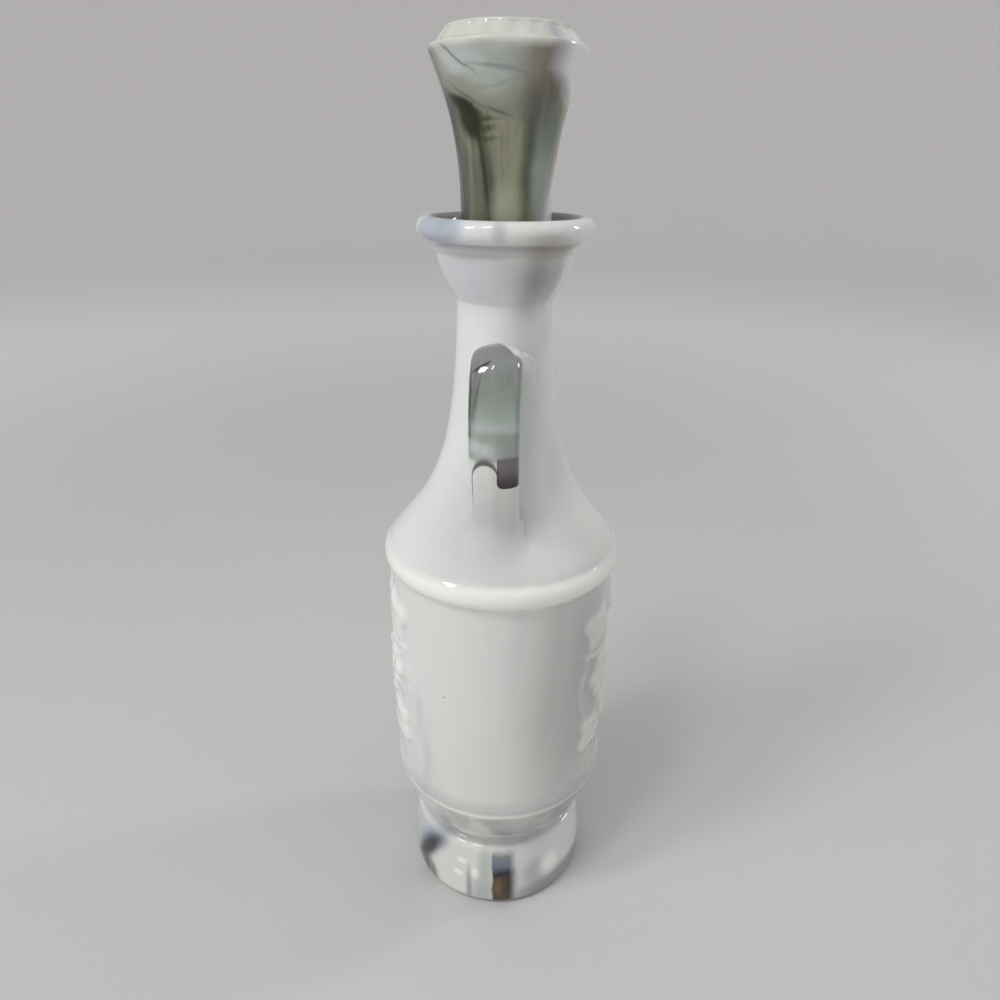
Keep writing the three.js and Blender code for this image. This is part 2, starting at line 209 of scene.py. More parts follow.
def curve(points, steps=40):
    """A Bezier curve through its first and last point, pulled by those between."""
    degree = len(points) - 1
    weights = [math.comb(degree, k) for k in range(degree + 1)]
    share = np.linspace(0, 1, steps + 1).reshape(-1, *[1] * np.ndim(points[0]))
    total = sum(
        w * (1 - share) ** (degree - k) * share ** k * np.array(p, float)
        for k, (w, p) in enumerate(zip(weights, points))
    )
    return [tuple(p) for p in total]


def pulled(point, length, slope):
    return (point[0] - length * math.cos(slope), point[1] + length * math.sin(slope))


def bulged(start, end, bulge):
    """A curve from start to end that swells out and down by about half of bulge."""
    middle = ((start[0] + end[0]) / 2 + bulge, (start[1] + end[1]) / 2 - bulge)
    return curve([start, middle, end])


def offset(profile, distance):
    """The profile pushed out along its normals, for a profile that runs up the outside."""
    points = np.array(profile, float)
    along = np.gradient(points, axis=0)
    along /= np.linalg.norm(along, axis=1)[:, None]
    return [tuple(p) for p in points + distance * np.column_stack([along[:, 1], -along[:, 0]])]


def melt(profile, reach, step=0.1):
    """The profile with its corners rounded over about reach, as fire-polished glass has them."""
    points = np.array(profile, float)
    lengths = np.hypot(*np.diff(points, axis=0).T)
    travelled = np.concatenate([[0], np.cumsum(lengths)])
    even = np.linspace(0, travelled[-1], int(travelled[-1] / step) + 1)
    fine = np.column_stack([np.interp(even, travelled, points[:, k]) for k in (0, 1)])
    spread = int(4 * reach / step)
    kernel = np.exp(-0.5 * (np.arange(-spread, spread + 1) * step / reach) ** 2)
    kernel /= kernel.sum()
    padded = np.pad(fine, ((spread, spread), (0, 0)), mode="reflect", reflect_type="odd")
    return np.column_stack([np.convolve(padded[:, k], kernel, mode="valid") for k in (0, 1)])


def thin(points, tolerance):
    """The fewest of the points that stay within tolerance of the line through them all."""
    keep = {0, len(points) - 1}
    spans = [(0, len(points) - 1)]
    while spans:
        first, last = spans.pop()
        if last - first < 2:
            continue
        chord = points[last] - points[first]
        away = points[first + 1:last] - points[first]
        length = np.hypot(*chord)
        if length > tolerance:
            off = np.abs(chord[0] * away[:, 1] - chord[1] * away[:, 0]) / length
        else:
            off = np.hypot(away[:, 0], away[:, 1])
        worst = int(off.argmax())
        if off[worst] > tolerance:
            middle = first + 1 + worst
            keep.add(middle)
            spans += [(first, middle), (middle, last)]
    return points[sorted(keep)]


def shoulder_sweep(steps=120):
    lip = (BARREL_RADIUS - SHOULDER_INSET, GROOVE + SHOULDER_LIP_HEIGHT)
    lip_pulled = pulled(lip, SHOULDER_PULL, SHOULDER_SLOPE)
    neck_pulled = (NECK_RADIUS + NECK_SPREAD, NECK_TOP - NECK_PULL)
    return curve([lip, lip_pulled, neck_pulled, (NECK_RADIUS, NECK_TOP)], steps)


def bottle_outside():
    foot_edge = (FOOT_TOP_RADIUS - FOOT_EDGE_ROUND, FOOT_HEIGHT - FOOT_EDGE_ROUND)
    base_edge = (FOOT_RADIUS - BASE_EDGE_ROUND, BASE_EDGE_ROUND)
    taper = bulged((WAIST_RADIUS, FOOT_HEIGHT), (BARREL_RADIUS, TAPER_TOP), TAPER_BULGE)
    lower_bead = (BARREL_RADIUS, TAPER_TOP + LOWER_BEAD_HEIGHT / 2)
    upper_bead = (BARREL_RADIUS, BARREL_TOP + UPPER_BEAD_HEIGHT / 2)
    collar = (CUP_TOP_RADIUS, CUP_TOP + COLLAR_HEIGHT / 2)
    return [
        *arc(base_edge, BASE_EDGE_ROUND, BASE_EDGE_ROUND, -90, 0),
        *arc(foot_edge, FOOT_EDGE_ROUND, FOOT_EDGE_ROUND, 0, 90),
        *[tuple(p) for p in melt([(foot_edge[0], FOOT_HEIGHT), *taper], WAIST_MELT)],
        *arc(lower_bead, LOWER_BEAD_PROUD, LOWER_BEAD_HEIGHT / 2, -90, 90, 24),
        *arc(upper_bead, UPPER_BEAD_PROUD, UPPER_BEAD_HEIGHT / 2, -90, 90, 32),
        *shoulder_sweep(),
        *bulged((NECK_RADIUS - CREASE_DEPTH, NECK_TOP), (CUP_TOP_RADIUS, CUP_TOP), CUP_BELLY),
        *arc(collar, COLLAR_PROUD, COLLAR_HEIGHT / 2, -60, 60),
        *arc((RIM_TUBE_RADIUS, RIM_MIDDLE), RIM_WIDTH / 2, RIM_HEIGHT / 2, -90, 90, 32),
    ]


def bottle_inside():
    floor = KICK_HEIGHT + BOTTOM_THICKNESS
    bore_bottom = NECK_TOP - BORE_LENGTH
    sweep = [p for p in reversed(offset(shoulder_sweep(30), -WALL)) if p[1] < bore_bottom - BORE_RUNOUT]
    foot_inside = WAIST_RADIUS - FOOT_WALL
    return [
        *arc((RIM_TUBE_RADIUS, RIM_MIDDLE), RIM_WIDTH / 2, RIM_HEIGHT / 2, 90, 180, 16)[1:],
        (BORE_RADIUS, NECK_TOP),
        (BORE_RADIUS, bore_bottom),
        *sweep,
        (BARREL_RADIUS - WALL, BARREL_TOP),
        (BARREL_RADIUS - WALL, BARREL_BOTTOM),
        (foot_inside, FOOT_HEIGHT),
        *arc((foot_inside - FLOOR_ROUND, floor + FLOOR_ROUND), FLOOR_ROUND, FLOOR_ROUND, 0, -90),
        (0, floor),
    ]


def bottle_profile():
    ring_inside = FOOT_RADIUS - BASE_EDGE_ROUND - STANDING_RING_WIDTH
    return arc((0, 0), ring_inside, KICK_HEIGHT, 90, 0) + bottle_outside() + bottle_inside()


def stopper_flare(steps=60):
    edge = (STOPPER_EDGE_RADIUS, STOPPER_EDGE - STOPPER_EDGE_ROUND)
    foot_pulled = (STOPPER_BODY_RADIUS, RIM_TOP + STOPPER_BODY_PULL)
    edge_pulled = pulled(edge, STOPPER_FLARE_PULL, -STOPPER_FLARE_SLOPE)
    return curve([(STOPPER_BODY_RADIUS, RIM_TOP), foot_pulled, edge_pulled, edge], steps)


def stopper_profile():
    flare = stopper_flare()
    edge = (STOPPER_EDGE_RADIUS - STOPPER_EDGE_ROUND, STOPPER_EDGE)
    crown_top = (CROWN_TOP_RADIUS - CROWN_ROUND, STOPPER_TOP - CROWN_ROUND)
    cavity_top = RIM_TOP + STOPPER_CAVITY_TOP
    cavity = [p for p in reversed(offset(stopper_flare(20), -STOPPER_WALL)) if p[1] < cavity_top]
    return [
        (SHANK_BORE_RADIUS, SHANK_BOTTOM),
        (SHANK_RADIUS, SHANK_BOTTOM),
        (SHANK_RADIUS, STOPPER_UNDERSIDE),
        (SLEEVE_RADIUS, STOPPER_UNDERSIDE),
        (STOPPER_BODY_RADIUS, STOPPER_SEAT),
        *flare,
        *arc(edge, STOPPER_EDGE_ROUND, STOPPER_EDGE_ROUND, 0, 90),
        (CROWN_FOOT_RADIUS, STOPPER_EDGE + STOPPER_EDGE_ROUND),
        *arc(crown_top, CROWN_ROUND, CROWN_ROUND, 0, 90),
        (0, STOPPER_TOP),
        (0, cavity_top),
        *cavity,
        (STOPPER_BODY_RADIUS - STOPPER_WALL, STOPPER_SEAT + STOPPER_WALL),
        (SHANK_BORE_RADIUS, STOPPER_UNDERSIDE),
        (SHANK_BORE_RADIUS, SHANK_BOTTOM),
    ]


# Meshes

def scene_object(name, data):
    made = bpy.data.objects.new(name, data)
    bpy.context.scene.collection.objects.link(made)
    return made


def mesh_object(name, shape, material):
    """An object from a shape's vertices and faces."""
    vertices, faces = shape
    mesh = bpy.data.meshes.new(name)
    mesh.from_pydata((vertices * MM).tolist(), [], faces)
    mesh.validate()
    mesh.shade_smooth()
    mesh.materials.append(material)
    return scene_object(name, mesh)


def add_piece(name, shape, material, body, node):
    """A piece of the decanter that rides on a body and stands for one of its nodes."""
    piece = mesh_object(name, shape, material)
    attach(piece, body)
    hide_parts(node)
    return piece


def turned(profile, angles, shape=None):
    """Vertices and faces of a profile turned about Z, with shape(angle, radius, height) as its radius."""
    profile = np.asarray(profile, float)
    radius, height = profile[:, 0], profile[:, 1]
    closes_on_itself = np.allclose(profile[0], profile[-1])
    turn = np.radians(angles)[:, None]
    grid_radius = np.broadcast_to(radius, (len(angles), len(radius)))
    if shape:
        grid_radius = shape(np.asarray(angles)[:, None], grid_radius, height[None, :])
    points = np.stack([
        grid_radius * np.sin(turn),
        -grid_radius * np.cos(turn),
        np.broadcast_to(height, grid_radius.shape),
    ], axis=-1)
    rows = len(radius) - 1 if closes_on_itself else len(radius)
    index = np.arange(len(angles))[:, None] * rows + np.arange(len(radius))[None, :] % rows
    on_axis = radius < 1e-6
    index[:, on_axis] = index[0, on_axis]
    faces = []
    columns = len(angles)
    for i in range(columns):
        here, there = index[i], index[(i + 1) % columns]
        for j in range(len(radius) - 1):
            if on_axis[j] and on_axis[j + 1]:
                continue
            ring = [here[j], there[j], there[j + 1], here[j + 1]]
            faces.append([int(v) for k, v in enumerate(ring) if v not in ring[:k]])
    vertices = points[:, :rows].reshape(-1, 3)
    used = np.unique(np.concatenate([np.array(f) for f in faces]))
    place = np.full(len(vertices), -1)
    place[used] = np.arange(len(used))
    return vertices[used], [[int(place[v]) for v in face] for face in faces]


# Look helpers

def srgb(red, green, blue):
    """A colour of 0 to 255 a channel, as the linear values that a shader takes."""
    def linear(value):
        share = value / 255
        return share / 12.92 if share <= 0.04045 else ((share + 0.055) / 1.055) ** 2.4
    return (linear(red), linear(green), linear(blue), 1.0)


def operation(name):
    """A method that works a value out from its own value and from others."""
    def work_out(self, *others):
        return self.surface.math(name, self, *others)
    return work_out


class Value:
    """A number or a colour that varies over a surface, and the sums that are made with it."""

    def __init__(self, surface, socket):
        self.surface = surface
        self.socket = socket

    __add__ = operation("ADD")
    __sub__ = operation("SUBTRACT")
    __mul__ = operation("MULTIPLY")
    __truediv__ = operation("DIVIDE")
    __abs__ = operation("ABSOLUTE")
    at_least = operation("MAXIMUM")
    at_most = operation("MINIMUM")

    def __rsub__(self, other):
        return self.surface.math("SUBTRACT", other, self)

    def hypot(self, other):
        return self.surface.math("SQRT", self * self + other * other)

    def wobble(self, noise, amount):
        return self + (noise - 0.5) * (2 * amount)

    def ramp(self, low, high):
        """0 below low, 1 above high and smooth between; low may be the larger."""
        ends = (low, high, 0.0, 1.0) if low < high else (high, low, 1.0, 0.0)
        inputs = dict(enumerate((self, *ends)))
        return self.surface.node("ShaderNodeMapRange", inputs, interpolation_type="SMOOTHSTEP")


class Surface:
    """A node material, with short calls for the nodes it is made of."""

    def __init__(self, name):
        self.material = bpy.data.materials.new(name)
        self.material.use_nodes = True
        self.tree = self.material.node_tree
        self.shader = next(n for n in self.tree.nodes if n.type == "BSDF_PRINCIPLED")
        self.place = self.node("ShaderNodeTexCoord", {}, "Object")

    def node(self, kind, inputs, output=0, **settings):
        """What a new node gives at one of its outputs."""
        made = self.tree.nodes.new(kind)
        for key, value in settings.items():
            setattr(made, key, value)
        self.feed(made, inputs)
        return Value(self, made.outputs[output])

    def feed(self, node, inputs):
        for key, value in inputs.items():
            if isinstance(value, Value):
                self.tree.links.new(value.socket, node.inputs[key])
            else:
                node.inputs[key].default_value = value

    def math(self, operation, *values):
        return self.node("ShaderNodeMath", dict(enumerate(values)), operation=operation)

    def mix(self, amount, first, second):
        # The node keeps its colours in sockets 6 and 7, and its mixed colour in output 2.
        return self.node("ShaderNodeMix", {"Factor": amount, 6: first, 7: second}, 2, data_type="RGBA")

    def noise(self, scale, detail=3.0, distortion=0.0, stretch=(1, 1, 1), shift=(0, 0, 0)):
        """Noise of 0 to 1 with scale features a metre, stretched along the axes."""
        place = self.node("ShaderNodeMapping", {"Vector": self.place, "Scale": stretch, "Location": shift})
        inputs = {"Vector": place, "Scale": scale, "Detail": detail, "Distortion": distortion}
        return self.node("ShaderNodeTexNoise", inputs)

    def bump(self, height, strength, depth):
        inputs = {"Height": height, "Strength": strength, "Distance": depth * MM}
        return self.node("ShaderNodeBump", inputs)

    def metres(self, axis):
        return self.node("ShaderNodeSeparateXYZ", {0: self.place}, axis)

    def across(self):
        """Millimetres to the right of the handle's middle."""
        return self.metres(0) * (1 / MM)

    def height(self):
        """Millimetres above the base."""
        return self.metres(2) * (1 / MM)

    def radius(self):
        """Millimetres out from the bottle's axis."""
        return self.metres(0).hypot(self.metres(1)) * (1 / MM)

    def angle(self):
        """Degrees about Z from the handle's side, towards +X."""
        return self.math("ARCTAN2", self.metres(0), self.metres(1) * -1.0) * (180 / math.pi)

    def patch(self, across, along, streak):
        """1 in the streak's ellipse, falling to 0 over its soft edge."""
        up = along - streak.along
        side = across - up * streak.lean - streak.across
        far = (side / streak.half_across).hypot(up / streak.half_along)
        return far.ramp(1 + streak.soft, 1 - streak.soft) * streak.strength

    # Lays streaks over the colour: marbling, and on some pieces painted light and shade.
    def marble(self, colour, across, along, streaks):
        for streak in (Streak(*row) for row in streaks):
            colour = self.mix(self.patch(across, along, streak), colour, streak.colour)
        return colour

    def finish(self, inputs):
        self.feed(self.shader, inputs)
        return self.material

    def finish_glass(self, colour, roughness, ripple, gloss=0.5):
        """Glossy opaque glass: light sinks in a little, and the pressed surface is faintly uneven."""
        smears = self.noise(55, detail=4)
        uneven = self.noise(70, detail=2, stretch=(1, 1, 0.6))
        return self.finish({
            "Base Color": colour,
            "Roughness": smears * 0.05 + roughness,
            "IOR": 1.51,
            "Specular IOR Level": gloss,
            "Subsurface Weight": 0.25,
            "Subsurface Radius": (1.0, 0.95, 0.85),
            "Subsurface Scale": 0.0015,
            "Normal": self.bump(uneven, 0.35, ripple),
        })


# A streak of other glass, or a patch of painted light or shade: its colour and how strongly it shows, where it
# lies across and along the piece, its half sizes, the softness of its edge, and how far it leans across for
# each millimetre along.
Streak = namedtuple("Streak", "colour strength across along half_across half_along soft lean", defaults=[0])

WHITE = srgb(226, 229, 226)
COOL_WHITE = srgb(208, 213, 217)
# used only for painted highlights and painted light
PAINTED_HIGHLIGHT_WHITE = srgb(248, 249, 244)
WARM_WHITE = srgb(222, 219, 212)
PALE_CROWN = srgb(200, 202, 192)
LAVENDER = srgb(203, 204, 216)
DUSK = srgb(184, 182, 188)
SKY = srgb(184, 191, 206)
TEAL = srgb(158, 178, 178)
SLATE = srgb(136, 141, 144)
BLUE = srgb(112, 121, 140)
INK = srgb(34, 35, 44)
UMBER = srgb(84, 68, 48)
BRONZE = srgb(112, 98, 66)
TAUPE = srgb(158, 153, 148)
PLUM = srgb(66, 56, 58)
MAUVE = srgb(120, 114, 114)
SAGE = srgb(158, 174, 163)
DARK_SAGE = srgb(98, 110, 102)
PALE_SAGE = srgb(184, 192, 186)
OLIVE = srgb(112, 112, 96)
HEM = srgb(134, 134, 120)
DARK_OLIVE = srgb(34, 38, 14)
MOSS = srgb(64, 72, 58)
KHAKI = srgb(153, 154, 132)
PALE_KHAKI = srgb(176, 178, 156)
REED = srgb(168, 173, 160)
SMOKE = srgb(92, 94, 92)
CHARCOAL = srgb(58, 59, 56)
ROSEWOOD = srgb(132, 116, 106)
DARK_CORK = srgb(176, 132, 88)
PALE_CORK = srgb(208, 170, 124)
CORK_PORE = srgb(92, 60, 38)


def clouded_white_and_painted_light(surface):
    """White milk glass with faint cool and warm clouds, the same on every piece that shows it, with grey on the
    shoulder and the neck, a painted reflection beside the handle's lower root and painted light on the
    shoulder's right.
    """
    clouds = surface.noise(14, detail=4, stretch=(1, 1, 0.45), distortion=0.8)
    colour = surface.mix(clouds.ramp(0.42, 0.7), WHITE, COOL_WHITE)
    warm = surface.noise(9, stretch=(1, 1, 0.5), shift=(5, 2, 7))
    colour = surface.mix(warm.ramp(0.5, 0.75) * 0.6, colour, WARM_WHITE)
    shades = [
        (SLATE, 0.27, -10, 184, 36, 18, 0.8),
        # painted reflection: a lavender patch on the shoulder beside the handle's lower root
        (LAVENDER, 0.6, 24, 201, 10, 15, 0.9),
        # painted light: the shoulder's right side made whiter
        (PAINTED_HIGHLIGHT_WHITE, 0.55, 58, 178, 28, 14, 0.8),
        (SLATE, 0.12, 34, 232, 30, 26, 0.8),
    ]
    return surface.marble(colour, surface.angle(), surface.height(), shades)


# Heights at which the foot's tongue changes to the next glass, from start to end
TONGUE_GLASSES = ((29, 20, BLUE), (22, 17.5, INK), (18.5, 13.5, UMBER), (6.5, 2.5, PLUM))


def foot_tongue(surface, colour):
    """The dark tongue down the front of the foot: blue above, black at its middle and brown below."""
    angle = surface.angle().wobble(surface.noise(130, detail=4, stretch=(1, 1, 0.6)), 2.6)
    height = surface.height().wobble(surface.noise(90, shift=(2, 5, 1)), 3.4)
    tongue = angle.ramp(0.6, 2.6) * angle.ramp(19.5, 12) * height.ramp(33, 27)
    glass = SLATE
    for start, end, next_glass in TONGUE_GLASSES:
        glass = surface.mix(height.ramp(start, end), glass, next_glass)
    shades = [
        (BRONZE, 0.8, 5.2, 11, 2.6, 4.2, 0.7),
        (INK, 0.55, 13, 10, 2.8, 10, 0.7),
    ]
    return surface.mix(tongue, colour, surface.marble(glass, angle, height, shades))


def clouded_taper(surface, colour):
    """Grey mottling on the taper between the foot and the barrel."""
    height = surface.height()
    on_taper = height.ramp(30, 36) * height.ramp(62, 54)
    mottle = surface.noise(42, detail=5, distortion=0.8, shift=(3, 8, 5)).ramp(0.4, 0.68)
    return surface.mix(on_taper * mottle * 0.55, colour, SLATE)


def ledge_painted_shade(surface, colour):
    """The ledge round the top of the foot under the taper, darkened with painted shade to the taper's grey."""
    height = surface.height()
    ledge = height.ramp(31, 32) * height.ramp(38, 33) * surface.radius().ramp(36.6, 34.6)
    return surface.mix(ledge * 0.3, colour, SLATE)


def vine_painted_light(surface, colour):
    """The raised vine on the barrel, with painted light that makes it whiter than the wall it stands on."""
    height = surface.height()
    above = height.ramp(BARREL_BOTTOM + 2, BARREL_BOTTOM + 5)
    below = height.ramp(BARREL_TOP - 2, BARREL_TOP - 5)
    proud = surface.radius().ramp(BARREL_RADIUS + 0.3, BARREL_RADIUS + 1.5)
    return surface.mix(proud * above * below * 0.42, colour, PAINTED_HIGHLIGHT_WHITE)


def shaded_mouth(surface, colour):
    """The inside of the funnel, greyer towards the bore."""
    height = surface.height()
    cone = (height - NECK_TOP) * CONE_RUN + BORE_RADIUS
    mouth = (surface.radius() - cone).ramp(1.8, 0.6) * height.ramp(258, 262)
    return surface.mix(mouth * 0.75, colour, SMOKE)


def opal_glass():
    """White milk glass, with streaks of blue, brown and grey in the foot, the cup and the rim, and painted
    highlights, shade and reflection on the foot, the beads, the barrel and the cup.
    """
    surface = Surface("opal_glass")
    angle = surface.angle().wobble(surface.noise(60, detail=4), 3)
    height = surface.height().wobble(surface.noise(80, detail=4, shift=(3, 1, 2)), 1.2)
    streaks = [
        # Foot, with a blue and black blot at its left
        (SLATE, 0.35, -70, 15, 11, 14, 0.8, 0.6),
        (SKY, 0.8, -52, 22, 10, 10, 0.7, 1),
        (BLUE, 0.9, -49, 18, 9.5, 13, 0.6, 1),
        (INK, 0.95, -49.5, 16, 6.5, 11, 0.6, 1),
        (CHARCOAL, 0.85, -48, 3.5, 9, 7, 0.5),
        (TAUPE, 0.7, -45.5, 5, 1.8, 7, 0.7, -0.2),
        (SLATE, 0.7, -14.5, 7, 2, 11, 0.7),
        (SLATE, 0.5, -5, 6, 7, 9, 0.8),
        (PALE_SAGE, 0.8, -3, 20, 5, 12, 0.7),
        (COOL_WHITE, 0.2, 48, 16, 36, 22, 0.5),
        (SLATE, 0.45, 30, 16, 8, 7, 0.7),
        # painted shade and painted reflection of the floor on the base's rounded lower edge at the right
        (SLATE, 0.85, 58, 3.5, 42, 7.5, 0.4),
        # painted highlights: three glints on the foot's front, left of the tongue
        (PAINTED_HIGHLIGHT_WHITE, 0.95, -20, 22, 3.6, 1.4, 0.5),
        (PAINTED_HIGHLIGHT_WHITE, 0.95, -22, 14.5, 3.6, 1.5, 0.5),
        (PAINTED_HIGHLIGHT_WHITE, 0.8, -10, 17, 2.6, 3, 0.6),
        # painted highlight on the foot's right
        (PAINTED_HIGHLIGHT_WHITE, 0.95, 42, 17, 6.5, 5, 0.8),
        (BLUE, 0.8, 120, 14, 7, 18, 0.5, 0.2),
        (UMBER, 0.7, -140, 12, 9, 16, 0.5, -0.2),
        # Taper above it
        (SLATE, 0.45, 8, 42, 6, 7, 0.8),
        (SLATE, 0.25, -28, 47, 6, 5, 0.9, 1),
        (TAUPE, 0.35, 28, 46, 14, 12, 0.9),
        (SLATE, 0.3, 43, 50, 4, 8, 0.8, -1),
        # Lower bead, barrel and upper bead
        # painted shade on the lower bead's upper half, and a painted highlight along its crest below
        (SLATE, 0.35, 0, 62.6, 90, 2.8, 0.6),
        (PAINTED_HIGHLIGHT_WHITE, 0.7, 0, 58.9, 90, 1.5, 0.7),
        (BLUE, 0.14, -37, 78, 3.6, 18, 0.9, 0.05),
        (SLATE, 0.16, -42, 100, 3, 9, 0.9),
        # painted shade darkening the barrel's right side
        (TAUPE, 0.52, 54, 112, 32, 60, 0.7),
        # painted highlight along the upper bead
        (PAINTED_HIGHLIGHT_WHITE, 0.8, 5, 163, 80, 4.6, 0.4),
        # Cup
        (LAVENDER, 0.4, -35, 268, 28, 10, 0.7),
        (SLATE, 0.12, 5, 270, 10, 5, 0.8),
        # painted shade on the cup's right
        (SMOKE, 0.6, 33, 268, 17, 9, 0.9),
        (SLATE, 0.35, 54, 268, 8, 9, 0.8),
        # Collar and rim
        (SLATE, 0.4, -20, 277.5, 45, 2.2, 0.6),
        (ROSEWOOD, 0.45, 38, 277.5, 20, 2.5, 0.7),
        (TAUPE, 0.4, 30, 281, 12, 2, 0.8),
        (SKY, 0.85, -45, 283.5, 21, 5, 0.3),
        (SLATE, 0.25, -45, 283.5, 21, 5, 0.3),
        (TEAL, 0.8, -38, 285, 4.5, 1.8, 0.8),
        (SLATE, 0.4, 0, 283.5, 4, 3, 0.8),
    ]
    colour = ledge_painted_shade(surface, clouded_taper(surface, clouded_white_and_painted_light(surface)))
    colour = surface.marble(colour, angle, height, streaks)
    colour = shaded_mouth(surface, vine_painted_light(surface, foot_tongue(surface, colour)))
    speck = (INK, 0.8, -24.2, 115.4, 0.55, 0.3, 0.5)
    colour = surface.marble(colour, surface.angle(), surface.height(), [speck])
    return surface.finish_glass(colour, roughness=0.035, ripple=0.5)


# The dark arch low on the strap, and the plum tongue beside it
ARCH_FOOT = 208.0
ARCH_RISE = 5.8
ARCH_MIDDLE = -2.6
ARCH_HALF_WIDTH = 4.4
TONGUE_LEFT = 1.5
TONGUE_BOTTOM = 204.6
TONGUE_ROUND = 2.0


def handle_tongue(surface, colour, across, along):
    """The plum tongue at the strap's right edge, and the dark arch that runs up over the white beside it."""
    rise = (along - ARCH_FOOT).at_least(0.0) / ARCH_RISE
    side = (across - ARCH_MIDDLE) / ARCH_HALF_WIDTH
    off = abs(rise.hypot(side) - 1.0) / (rise * rise * 0.17 + 0.04)
    under_tongue = across.ramp(-1, 0) * along.ramp(206.5, 204.5)
    arch = off.ramp(1.5, 0.3) * along.ramp(193, 206) * (1.0 - under_tongue)
    colour = surface.mix(arch * 0.85, colour, PLUM)

    corner_left = (TONGUE_LEFT + TONGUE_ROUND - across).at_least(0.0)
    corner_bottom = (TONGUE_BOTTOM + TONGUE_ROUND - along).at_least(0.0)
    inside = TONGUE_ROUND - corner_left.hypot(corner_bottom)
    tongue = inside.ramp(-0.15, 0.15) * along.ramp(216.4, 214.6)
    plum = surface.mix(along.ramp(205.5, 212.5), PLUM, MAUVE)
    rind = inside.ramp(0.8, 0.2) * along.ramp(214, 209)
    plum = surface.mix(rind * 0.9, plum, INK)
    return surface.mix(tongue, colour, plum)


def handle_glass():
    """Grey-green marbled glass that ends low on the strap in a plum tongue, with white glass at its roots,
    painted light on the strap's top and painted shade along its right edge.
    """
    surface = Surface("handle_glass")
    across = surface.across().wobble(surface.noise(90), 0.6)
    along = surface.height().wobble(surface.noise(70, shift=(1, 4, 2)), 1)
    veins = surface.noise(80, detail=5, stretch=(1.6, 1, 0.35), distortion=1.2)
    green = surface.mix(veins.ramp(0.4, 0.75), PALE_SAGE, SAGE)
    cloud = surface.noise(45, stretch=(1, 1, 1.5), shift=(2, 2, 5))
    green = surface.mix(cloud.ramp(0.5, 0.8) * 0.25, green, DARK_SAGE)
    streaks = [
        # painted light on the strap's upward-facing top
        (COOL_WHITE, 0.5, 2, 247.5, 9, 3.6, 0.8),
        (SAGE, 0.5, 1, 231, 9, 7, 0.7),
        (DARK_SAGE, 0.6, -6.8, 232, 1.6, 11, 0.6, 0.1),
        (INK, 0.8, -7.7, 232, 0.5, 11, 0.5),
        (CHARCOAL, 0.4, -5.6, 234.5, 0.35, 11, 0.8, 0.19),
        (INK, 0.9, -4.2, 244.2, 0.7, 1.9, 0.5, 1.47),
        # painted shade along the strap's right edge
        (DARK_SAGE, 0.4, 7.8, 229, 0.8, 14, 0.7),
        (COOL_WHITE, 0.3, -1, 226, 9, 2, 0.9),
        (DARK_SAGE, 0.3, 2, 222.6, 9, 1.7, 0.9),
        (COOL_WHITE, 0.5, -3.5, 218.5, 5, 2.6, 0.8, -1.5),
        (SMOKE, 0.35, 5, 218, 4.6, 4, 0.8),
    ]
    green = surface.marble(green, across, along, streaks)
    white = clouded_white_and_painted_light(surface)
    colour = surface.mix(along.ramp(215.4, 212.8), green, white)
    colour = handle_tongue(surface, colour, across, along)
    lapped = (across.at_least(0.0) * 1.4).at_most(8.0)
    root = (surface.radius() - lapped).ramp(25.5, 23.5)
    return surface.finish_glass(surface.mix(root, colour, white), roughness=0.03, ripple=0.35)


# The lower edge of the stopper's pale veil, which runs level in front and climbs towards the left, and the
# edge of its white right flank, which bulges out to the right at mid height
VEIL_EDGE = 315.0
VEIL_TURN = -8.0
VEIL_CLIMB = -0.163
FLANK_EDGE = 80.0
FLANK_LEAST_EDGE = 42.0
FLANK_TOP = 317.5
FLANK_TOP_LEAN = 3.8
FLANK_BOTTOM = 305.0
FLANK_BOTTOM_LEAN = 1.7
THREAD_SOFTNESS = 0.9


def stopper_veil(surface, angle, height):
    """How far above the veil's edge a place lies, in millimetres."""
    climb = (angle - VEIL_TURN).at_most(0.0) * VEIL_CLIMB
    above = height - (climb + VEIL_EDGE)
    return above.wobble(surface.noise(75, distortion=0.8, shift=(2, 2, 9)), 2.4)


def stopper_flank(angle, height):
    """How far past the flank's edge a place lies, in degrees."""
    above = (height - FLANK_TOP).at_least(0.0)
    below = (FLANK_BOTTOM - height).at_least(0.0)
    edge = FLANK_EDGE - above * FLANK_TOP_LEAN - below * FLANK_BOTTOM_LEAN
    return angle - edge.at_least(FLANK_LEAST_EDGE)


